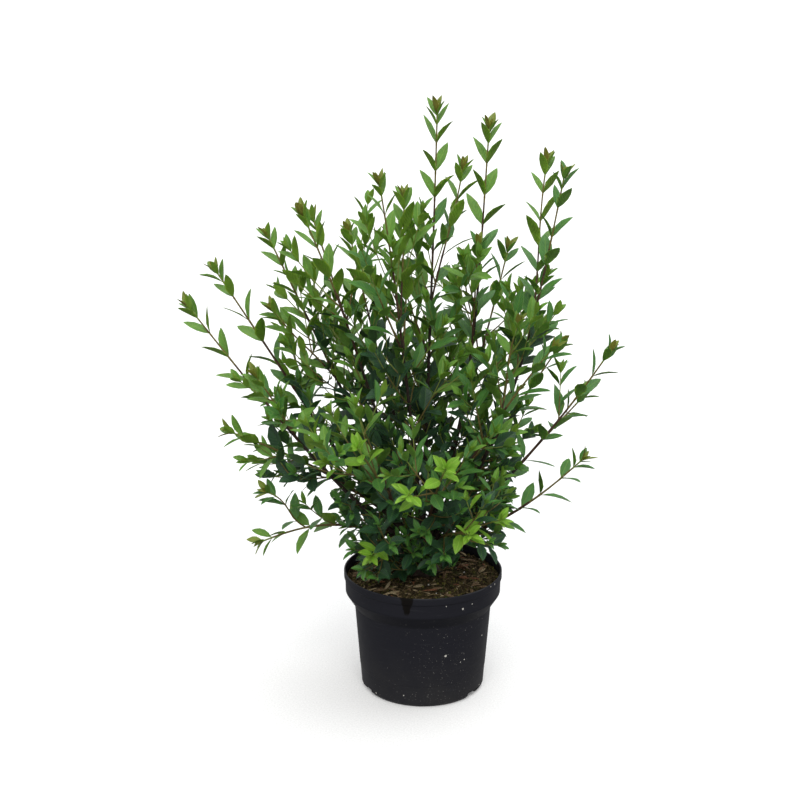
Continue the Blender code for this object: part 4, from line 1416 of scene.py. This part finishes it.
class Shrub:
    """The whole crown: twigs first, order by order, and then the leaves on them."""

    def __init__(self, courses):
        self.courses = courses
        self.crown = Crown(courses)
        self.room = Room()
        self.dice = random.Random(SEED * 7)
        self.twigs = []
        self.leaves = []

    def keep(self, twig):
        for shape in prisms(twig.course, twig.start, twig.course.length):
            twig.numbers.add(self.room.add(shape, PRISM_FACES))
        self.twigs.append(twig)

    def grow(self):
        for owner, ((_, _, _, side_tips), course) in enumerate(zip(SHOOTS, self.courses)):
            for shape in prisms(course, 0.0, bough_length(course)):
                self.room.add(shape, PRISM_FACES)
            self.keep(Twig(owner, course, bough_length(course), 0, self.dice.uniform(*LEADER_SIZES)))
            for tip in side_tips:
                self.keep(Twig(owner, side_course(course, Vector(tip)), 0.0, 1, 1.0))
        leaders = list(self.twigs)
        for twig in leaders:
            twig.is_leader = True
            twig.layout = twig.nodes(self.dice)
        for twig in leaders:
            self.branch(twig, *SIDE_TWIGS)
        self.grow_suckers()
        for twig in leaders:
            if twig.order == 0:
                self.branch_low(twig)
        for twig in self.twigs[len(leaders):]:
            self.branch(twig, *SMALL_TWIGS)
        for twig in self.twigs:
            twig.kind = self.kind_of(twig)
        for twig in self.twigs:
            self.dress(twig)

    def branch(self, twig, slope, size, lengths, chance, zone, radius):
        """Side twigs in pairs from the nodes on the lower part of a twig."""
        for place, (distance, _, _, turn_angle, age) in enumerate(twig.layout):
            share = (distance - twig.start) / (twig.course.length - twig.start)
            if share > zone or age < YOUNG_AGES:
                continue
            thinned = chance * (1 - TOP_THINNING * towards_top(twig.course.place(distance)))
            for side in (0, math.pi):
                if self.dice.random() > thinned:
                    continue
                grown = self.side_twig(twig, distance, turn_angle + side, slope, size, lengths, radius)
                if grown:
                    twig.forks[(place, side > 0)] = grown

    def branch_low(self, twig):
        """Short shoots from the bare bough, which hide the stool and hang over the compost."""
        distance = LOW_START
        turn_angle = self.dice.uniform(0, math.pi)
        while distance < bough_length(twig.course):
            for side in (0, math.pi):
                if self.dice.random() > LOW_CHANCE:
                    continue
                for further in range(LOW_TRIES):
                    if self.side_twig(twig, distance, turn_angle + side + further, *LOW_TWIGS, SIDE_RADIUS):
                        break
            distance += LOW_GAP
            turn_angle += math.pi / 2

    def grow_suckers(self):
        """Short leafy shoots from the stool's waist, which hide it."""
        up = Vector((0, 0, 1))
        for number in range(SUCKERS):
            angle = 2 * math.pi * (number + self.dice.uniform(-SUCKER_SPREAD, SUCKER_SPREAD)) / SUCKERS
            rise = math.radians(self.dice.uniform(*SUCKER_RISE))
            out = Vector((math.cos(angle), math.sin(angle), 0))
            root = out * STOOL_WAIST_RADIUS + up * self.dice.uniform(*SUCKER_HEIGHTS)
            direction = between(out, up, rise)
            across = Vector((-out.y, out.x, 0))
            length = self.dice.uniform(*SUCKER_LENGTHS)
            owner = self.crown.owner_at(root + direction * length)
            self.new_twig(owner, root, direction, across, length, SIDE_RADIUS, 1, LOW_TWIGS[1], set())

    def side_twig(self, parent, distance, turn_angle, slope, size, lengths, radius):
        along = parent.course.direction(distance)
        root = parent.course.place(distance)
        across, up = square_to(along)
        turn_angle += self.dice.uniform(-SIDE_TURN_SPREAD, SIDE_TURN_SPREAD)
        out = between(across, up, turn_angle)
        top = towards_top(root)
        tilt = math.radians(slope - TOP_STEEPENING * top + self.dice.uniform(*SIDE_TILTS))
        direction = between(along, out, tilt).normalized()
        longest = self.dice.uniform(*lengths) * (1 + TOP_LENGTHENING * top)
        return self.new_twig(parent.owner, root, direction, across, longest, radius,
                             parent.order + 1, size * parent.size, parent.numbers)

    def new_twig(self, owner, root, direction, across, longest, radius, order, size, beside):
        """A twig from a root, tried ever shorter until it finds room."""
        outside = self.dice.random() < OUTSIDE_CHANCE
        length = longest
        while length > longest * SHORTEST_SHARE:
            rise = Vector((0, 0, length * TWIG_RISE * self.dice.uniform(*TWIG_RISES)))
            sway = across * length * self.dice.uniform(-TWIG_SWAY, TWIG_SWAY)
            control = [root, root + direction * length * 0.35 + sway,
                       root + direction * length * 0.7 + rise * 0.35,
                       root + direction * length + rise]
            course = Course(bezier(control, TWIG_STEPS), max(radius, length * TWIG_THICKNESS),
                            TWIG_TIP_RADIUS)
            tests = np.array([tuple(course.place(course.length * share)) for share in TWIG_TESTS])
            poking_out = TOP_POKING_OUT * towards_top(course.points[-1])
            inner = course.place(course.length * (1 - poking_out))
            allowed = in_body(inner) or (outside and length < OUTSIDE_LENGTH)
            if allowed and self.crown.holds(owner, tests, SIDE_SLACK):
                shapes = prisms(course, min(TWIG_ROOT, length * 0.3), course.length)
                if not any(self.room.cuts(shape, PRISM_FACES, beside) for shape in shapes):
                    twig = Twig(owner, course, 0.0, order, size)
                    self.keep(twig)
                    twig.layout = twig.nodes(self.dice)
                    return twig
            length *= SHORTENING
        return None

    def kind_of(self, twig):
        """The colour of a spray, from where its tip is in the crown, with painted light that makes it paler
        higher up, further out and to the left.
        """
        tip = twig.course.points[-1]
        at_front = tip.z < FRESH_UNDER_Z and tip.y < FRESH_BEFORE_Y
        if SHOOTS[twig.owner][0].startswith("front") and at_front:
            if twig.is_leader or self.dice.random() < FRESH_CHANCE:
                return "fresh"
        height = clamp((tip.z - LIT_FROM_Z) / LIT_RISE)
        outward = min(body_level(tip), OUTEST)
        spread = self.dice.uniform(-LIGHT_SPREAD, LIGHT_SPREAD)
        light = HEIGHT_WEIGHT * height + OUTWARD_WEIGHT * outward + spread
        if light < DEEP_UNDER:
            return "mid" if twig.is_leader else "deep"
        if light < MID_UNDER:
            return "deep" if self.dice.random() < DEEP_CHANCE else "mid"
        # Painted light: sprays further to the left are more often the pale kind
        chance = clamp(LIGHT_CHANCE - LIGHT_CHANCE_FALL * tip.x, *LIGHT_CHANCES)
        return "light" if self.dice.random() < chance else "mid"

    def dress(self, twig):
        """Leaf pairs along a twig, from the tip back."""
        for place, (distance, length, slope, turn_angle, age) in enumerate(twig.layout):
            if twig.kind == "fresh" and age < FRESH_AGES:
                length *= FRESH_SIZE
                slope += OPENING
            else:
                slope += OPENING * (1 - height_share(twig.course.place(distance).z))
            for side in (0, math.pi):
                beside = twig.numbers | twig.tuft if age <= TUFT_AGES else twig.numbers
                fork = twig.forks.get((place, side > 0))
                if fork:
                    beside = beside | fork.numbers
                    slope = max(slope, FORK_SLOPE)
                self.leaf(twig, distance, length, slope, turn_angle + side, age, beside)

    def leaf_kind(self, twig, age, root):
        """The colour of a leaf: its spray's, or darker where it is old and inside the crown, partly its own
        colour and partly painted shade.
        """
        if twig.kind == "fresh" and age < FRESH_AGES:
            return "fresh"
        if twig.kind == "deep":
            return "mid" if age < TUFT_AGES else "deep"
        if age < TUFT_AGES:
            return "young" if twig.is_leader else "light"
        top = towards_top(root)
        shaded = self.dice.uniform(*SHADED_LEVELS) * (1 - SHADED_TOP_LOSS * top)
        old = age > OLD_AGE and body_level(root) < shaded
        if old and self.dice.random() > SHADED_CHANCE_LOSS * top:
            return "deep"
        return "mid" if age > OLDEST_PALE or twig.kind == "fresh" else twig.kind

    def leaf(self, twig, distance, length, slope, turn_angle, age, beside):
        """One leaf, tried a few times, each time turned a little and smaller."""
        dice = self.dice
        along = twig.course.direction(distance)
        root = twig.course.place(distance)
        level = 1.0 - abs(along.z)
        kind = self.leaf_kind(twig, age, root)
        broad = LEAF_KINDS[kind][3] * dice.uniform(1 - BREADTH_SPREAD, 1 + BREADTH_SPREAD)
        for tries, size in enumerate(LEAF_TRIES):
            spread = TURN_SPREAD * (1 + tries / 2)
            turn = turn_angle + math.radians(dice.uniform(-spread, spread))
            arch = math.radians(dice.uniform(*(YOUNG_ARCH if age < YOUNG_AGES else OLD_ARCH)))
            tilt = math.radians(slope + dice.uniform(-SLOPE_SPREAD, SLOPE_SPREAD)) - arch / 2
            tilt = max(tilt, math.radians(LEAST_SLOPE))
            out = between(*square_to(along), turn)
            out.z += LEAF_LIFT * level
            out = (out - along * out.dot(along)).normalized()
            direction = between(along, out, tilt).normalized()
            face = along * math.sin(tilt) - out * math.cos(tilt)
            facing_up = LEVEL_FACE + LOW_LEVEL_FACE * (1 - height_share(root.z))
            face = face * (1 - facing_up) + Vector((0, 0, facing_up + LEVEL_TWIG_FACE * level))
            face = (face - direction * face.dot(direction)).normalized()
            roll = math.radians(dice.uniform(-ROLL_SPREAD, ROLL_SPREAD))
            face = Matrix.Rotation(roll, 3, direction) @ face
            real = length * size * (1 + dice.uniform(-LENGTH_SPREAD, LENGTH_SPREAD))
            form = LeafForm(root + direction * twig.course.radius(distance) * 0.5, direction, face,
                            real, real * broad, arch, age, dice)
            blade = form.outline()
            if not self.crown.holds(twig.owner, blade[1:], LEAF_SLACK):
                continue
            if self.room.cuts(blade, OUTLINE_FACES, beside):
                continue
            self.leaves.append((kind, twig.owner, form))
            number = self.room.add(blade, OUTLINE_FACES)
            if age < TUFT_AGES:
                twig.tuft.add(number)
            return


class LeafForm:
    """A leaf's place and shape: an arched blade, folded along its rib."""

    def __init__(self, root, direction, face, length, width, arch, age, dice):
        self.root = np.array(root)
        self.direction = np.array(direction)
        self.face = np.array(face)
        self.side = np.cross(self.face, self.direction)
        self.length = length
        self.width = width
        self.arch = arch
        self.fold = math.tan(math.radians(dice.uniform(*(YOUNG_FOLD if age < YOUNG_AGES else OLD_FOLD))))
        self.base_power = dice.uniform(*BASE_POWERS)
        self.tip_power = dice.uniform(*TIP_POWERS)
        self.wave = dice.uniform(-EDGE_WAVE, EDGE_WAVE)
        self.swing = dice.uniform(-SIDE_SWING, SIDE_SWING)

    def half_width(self, share):
        """Half the blade's width along its length, with a short stalk at the root."""
        a, b = self.base_power, self.tip_power
        peak = (a / (a + b)) ** a * (b / (a + b)) ** b
        inner = np.clip((share - STALK_SHARE) / (1 - STALK_SHARE), 0, 1)
        blade = self.width / 2 * inner ** a * (1 - inner) ** b / peak
        return np.maximum(blade, PETIOLE_HALF_WIDTH * np.where(share < PETIOLE_END, 1.0, TIP_WIDTH_SHARE))

    def centre(self, share):
        """The rib's line and the blade's normal along it."""
        turn = self.arch * share
        arch = max(self.arch, 1e-4)
        along = np.sin(turn) / arch * self.length
        down = (1 - np.cos(turn)) / arch * self.length
        sideways = self.swing * self.length * share ** 2
        line = (self.root + along[:, None] * self.direction - down[:, None] * self.face
                + sideways[:, None] * self.side)
        normal = np.sin(turn)[:, None] * self.direction + np.cos(turn)[:, None] * self.face
        return line, normal

    def outline(self):
        """Six points: a coarse outline of the blade for the tests of space."""
        share = np.array(OUTLINE_STATIONS)
        line, normal = self.centre(share)
        half = self.half_width(share)[:, None]
        edge = self.side * half * OUTLINE_MARGIN
        lift = normal * half * self.fold
        left = line - edge + lift
        right = line + edge + lift
        return np.array([line[0], left[1], right[1], left[2], right[2], line[3]])

    def mesh(self):
        share = np.array(LEAF_STATIONS)
        line, normal = self.centre(share)
        half = self.half_width(share)
        thick = LEAF_THICKNESS * min(1.0, self.length / FULLY_THICK_LENGTH)
        rib = np.minimum(RIB_HALF_WIDTH, half * WIDEST_RIB_SHARE)
        wave = self.wave * self.width * np.sin(2 * math.pi * EDGE_WAVES * share)
        across = (-half, -half * HALF_WAY, -rib, rib, half * HALF_WAY, half, half * 0)
        mid_lift = half * HALF_WAY_LIFT * self.fold + thick * HALF_WAY_BULGE
        rib_lift = half * 0 - RIB_DEPTH
        lift = (half * self.fold + wave, mid_lift, rib_lift, rib_lift, mid_lift,
                half * self.fold - wave, half * 0 - thick)
        rows = [line + self.side * sideways[:, None] + normal * upward[:, None]
                for sideways, upward in zip(across, lift)]
        tip, _ = self.centre(np.array([1.0]))
        return np.concatenate([np.stack(rows, axis=1).reshape(-1, 3), tip])


def leaf_pattern():
    """The faces, material slots and chart places that every leaf shares."""
    rings = len(LEAF_STATIONS)
    last = (rings - 1) * RING
    faces = bands(rings, RING)
    faces += [(last + part, last + (part + 1) % RING, rings * RING) for part in range(RING)]
    faces.append(tuple(reversed(range(RING))))
    slots = [*RING_SLOTS * rings, RIB]
    uvs = [(across, along) for along in LEAF_STATIONS for across in RING_ACROSS]
    return faces, slots, np.array([*uvs, (0.5, 1.0)])


def make_leaves(shrub):
    """Pieces for each colour of spray, each with its upper sides, ribs and undersides."""
    pattern = leaf_pattern()
    by_kind = defaultdict(list)
    for kind, owner, form in shrub.leaves:
        by_kind[kind].append((owner, form))
    pieces = []
    for kind, (upper, under, rib, _) in LEAF_KINDS.items():
        materials = [blade_material(f"leaf_{kind}_upper", upper, 0.46, 0.5),
                     plain_grain(f"leaf_{kind}_rib", rib, 0.5, 160.0, 0.8, 700.0, (0.2, 0.0002)),
                     blade_material(f"leaf_{kind}_under", under, 0.60, 0.9)]
        grown = sorted(by_kind[kind], key=lambda leaf: leaf[0])
        for number, first in enumerate(range(0, len(grown), PIECE_LEAVES)):
            heap = Heap()
            part = grown[first:first + PIECE_LEAVES]
            for _, form in part:
                heap.add(form.mesh(), *pattern)
            piece = heap.build(f"leaves_{kind}_{number + 1}", materials, 50)
            pieces.append((piece, {owner for owner, _ in part}))
    return pieces


def twig_slot(twig, distance, place):
    """Older wood is dark, and the last stretch before a tip is green."""
    from_tip = twig.course.length - distance
    older = LEADER_OLDER if twig.is_leader else (OLDER_UNDER_Z - place.z) * OLDER_BY_HEIGHT
    return sum(from_tip / OLD_LENGTH + older < limit for limit in TWIG_AGES)


def twig_marks(twig, knots):
    """Where a twig's rings go: evenly along it, and closer at the swelling of each pair."""
    end = twig.course.length
    count = max(2, round((end - twig.start) / TWIG_RING_STEP))
    marks = {round(twig.start + (end - twig.start) * step / count, 5) for step in range(count + 1)}
    for knot, offset in itertools.product(knots, (-SWELL_LENGTH, 0.0, SWELL_LENGTH)):
        if twig.start < knot + offset < end:
            marks.add(round(knot + offset, 5))
    marks = sorted(marks)
    return marks[:1] + [mark for before, mark in zip(marks, marks[1:]) if mark - before > RINGS_APART]


def make_twigs(shrub):
    """All twigs as tubes that swell a little at each pair of leaves."""
    heap = Heap()
    for twig in shrub.twigs:
        knots = [node[0] for node in twig.layout]
        marks = twig_marks(twig, knots)
        points = [twig.course.place(mark) for mark in marks]
        radii = []
        for mark in marks:
            near = min((abs(mark - knot) for knot in knots), default=1.0)
            bulge = SWELL * max(0.0, 1.0 - near / (2 * SWELL_LENGTH))
            radii.append(twig.course.radius(mark) * (1 + bulge))
        slots = []
        for mark, point in zip(marks[:-1], points):
            slots += [twig_slot(twig, mark, point)] * TWIG_SIDES
        heap.add(*tube_shape(points, radii, TWIG_SIDES), [slots[0], *slots, slots[-1]])
    materials = [bark_material(*colours, 0.62) for colours in TWIG_COLOURS]
    return heap.build("twigs", materials, 60)


# Stage

def make_stage():
    material = plain_grain("stage_floor", (FLOOR_COLOUR,) * 3)
    nodes = Nodes(material.node_tree)
    nodes.give(nodes.tree.nodes["Principled BSDF"],
               Emission_Color=(1.0, 1.0, 1.0), Emission_Strength=FLOOR_GLOW)
    half = FLOOR_HALF
    corners = [(-half, -half, 0), (half, -half, 0), (half, half, 0), (-half, half, 0)]
    floor = make_mesh("stage_floor", corners, [(0, 1, 2, 3)], [material])
    floor.visible_diffuse = False
    floor.visible_glossy = False


def add_lamp(name, source, spread, strength, colour):
    """A far lamp that shines from the source's direction, as wide as the spread in degrees."""
    data = bpy.data.lights.new(name, "SUN")
    data.angle = math.radians(spread)
    data.energy = strength
    data.color = colour
    lamp = bpy.data.objects.new(name, data)
    lamp.rotation_euler = Vector(source).to_track_quat("Z", "Y").to_euler()
    bpy.context.collection.objects.link(lamp)


def make_light():
    """A white studio: a sky that is darker below the horizon, and two wide lamps."""
    world = bpy.data.worlds.new("studio")
    world.use_nodes = True
    nodes = Nodes(world.node_tree)
    way = nodes.node("TexCoord").outputs["Generated"]
    height = nodes.node("MapRange", Value=nodes.parts_of(way)[2], From_Min=-1.0).outputs[0]
    nodes.give(nodes.tree.nodes["Background"], Color=nodes.ramp(height, SKY_STOPS), Strength=1.0)
    bpy.context.scene.world = world
    for lamp in LAMPS:
        add_lamp(*lamp)
    bpy.context.scene.view_settings.view_transform = "Standard"


def make_camera():
    data = bpy.data.cameras.new("camera")
    data.lens = LENS
    data.clip_end = FARTHEST_SEEN
    data.sensor_width = SENSOR
    camera = bpy.data.objects.new("camera", data)
    camera.location = CAMERA_PLACE
    camera.rotation_euler = (math.radians(90 - CAMERA_PITCH), 0, 0)
    bpy.context.collection.objects.link(camera)
    bpy.context.scene.camera = camera


def place_piece(piece, slot, *nodes):
    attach(piece, "root")
    if nodes:
        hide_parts(*nodes)


def main():
    make_camera()
    make_light()
    make_stage()
    courses = shoot_courses()
    shrub = Shrub(courses)
    shrub.grow()

    place_piece(make_pot(plastic_material()), "pot_plastic", "pot")
    white = plain_grain("perlite", PERLITE_COLOUR)
    place_piece(make_specks([white, plain_grain("pot_dust", DUST_COLOUR)]), "pot_plastic")
    place_piece(make_compost(earth_material(*EARTH_COLOURS)), "compost", "compost")
    crumbs = [earth_material(*colours) for colours in CRUMB_COLOURS]
    place_piece(scatter("compost_crumbs", crumbs, CRUMBS, crumb), "compost")
    chips = [chip_material(*colours) for colours in CHIP_COLOURS]
    place_piece(scatter("bark_chips", chips, CHIPS, chip), "compost")
    fibres = [chip_material(*colours) for colours in FIBRE_COLOURS]
    place_piece(scatter("root_fibres", fibres, FIBRES, fibre, 60), "compost")
    moss = [plain_grain(*colours, 0.8) for colours in MOSS_COLOURS]
    place_piece(scatter("moss_tufts", moss, MOSS_TUFTS, moss_tuft, 20), "compost")
    place_piece(scatter("perlite_grains", [white], PERLITE_GRAINS, perlite_grain), "compost")

    bough_nodes = ["bough_" + name for name, _, _, _ in SHOOTS]
    place_piece(make_boughs(courses, bark_material(*BARK_COLOURS, 0.75)), "bark", "stem", *bough_nodes)
    foliage_nodes = ["foliage_" + name for name, _, _, _ in SHOOTS]
    place_piece(make_twigs(shrub), "foliage", *foliage_nodes)
    for piece, owners in make_leaves(shrub):
        place_piece(piece, "foliage", *[foliage_nodes[owner] for owner in sorted(owners)])
    print("twigs", len(shrub.twigs), "leaves", len(shrub.leaves))


main()
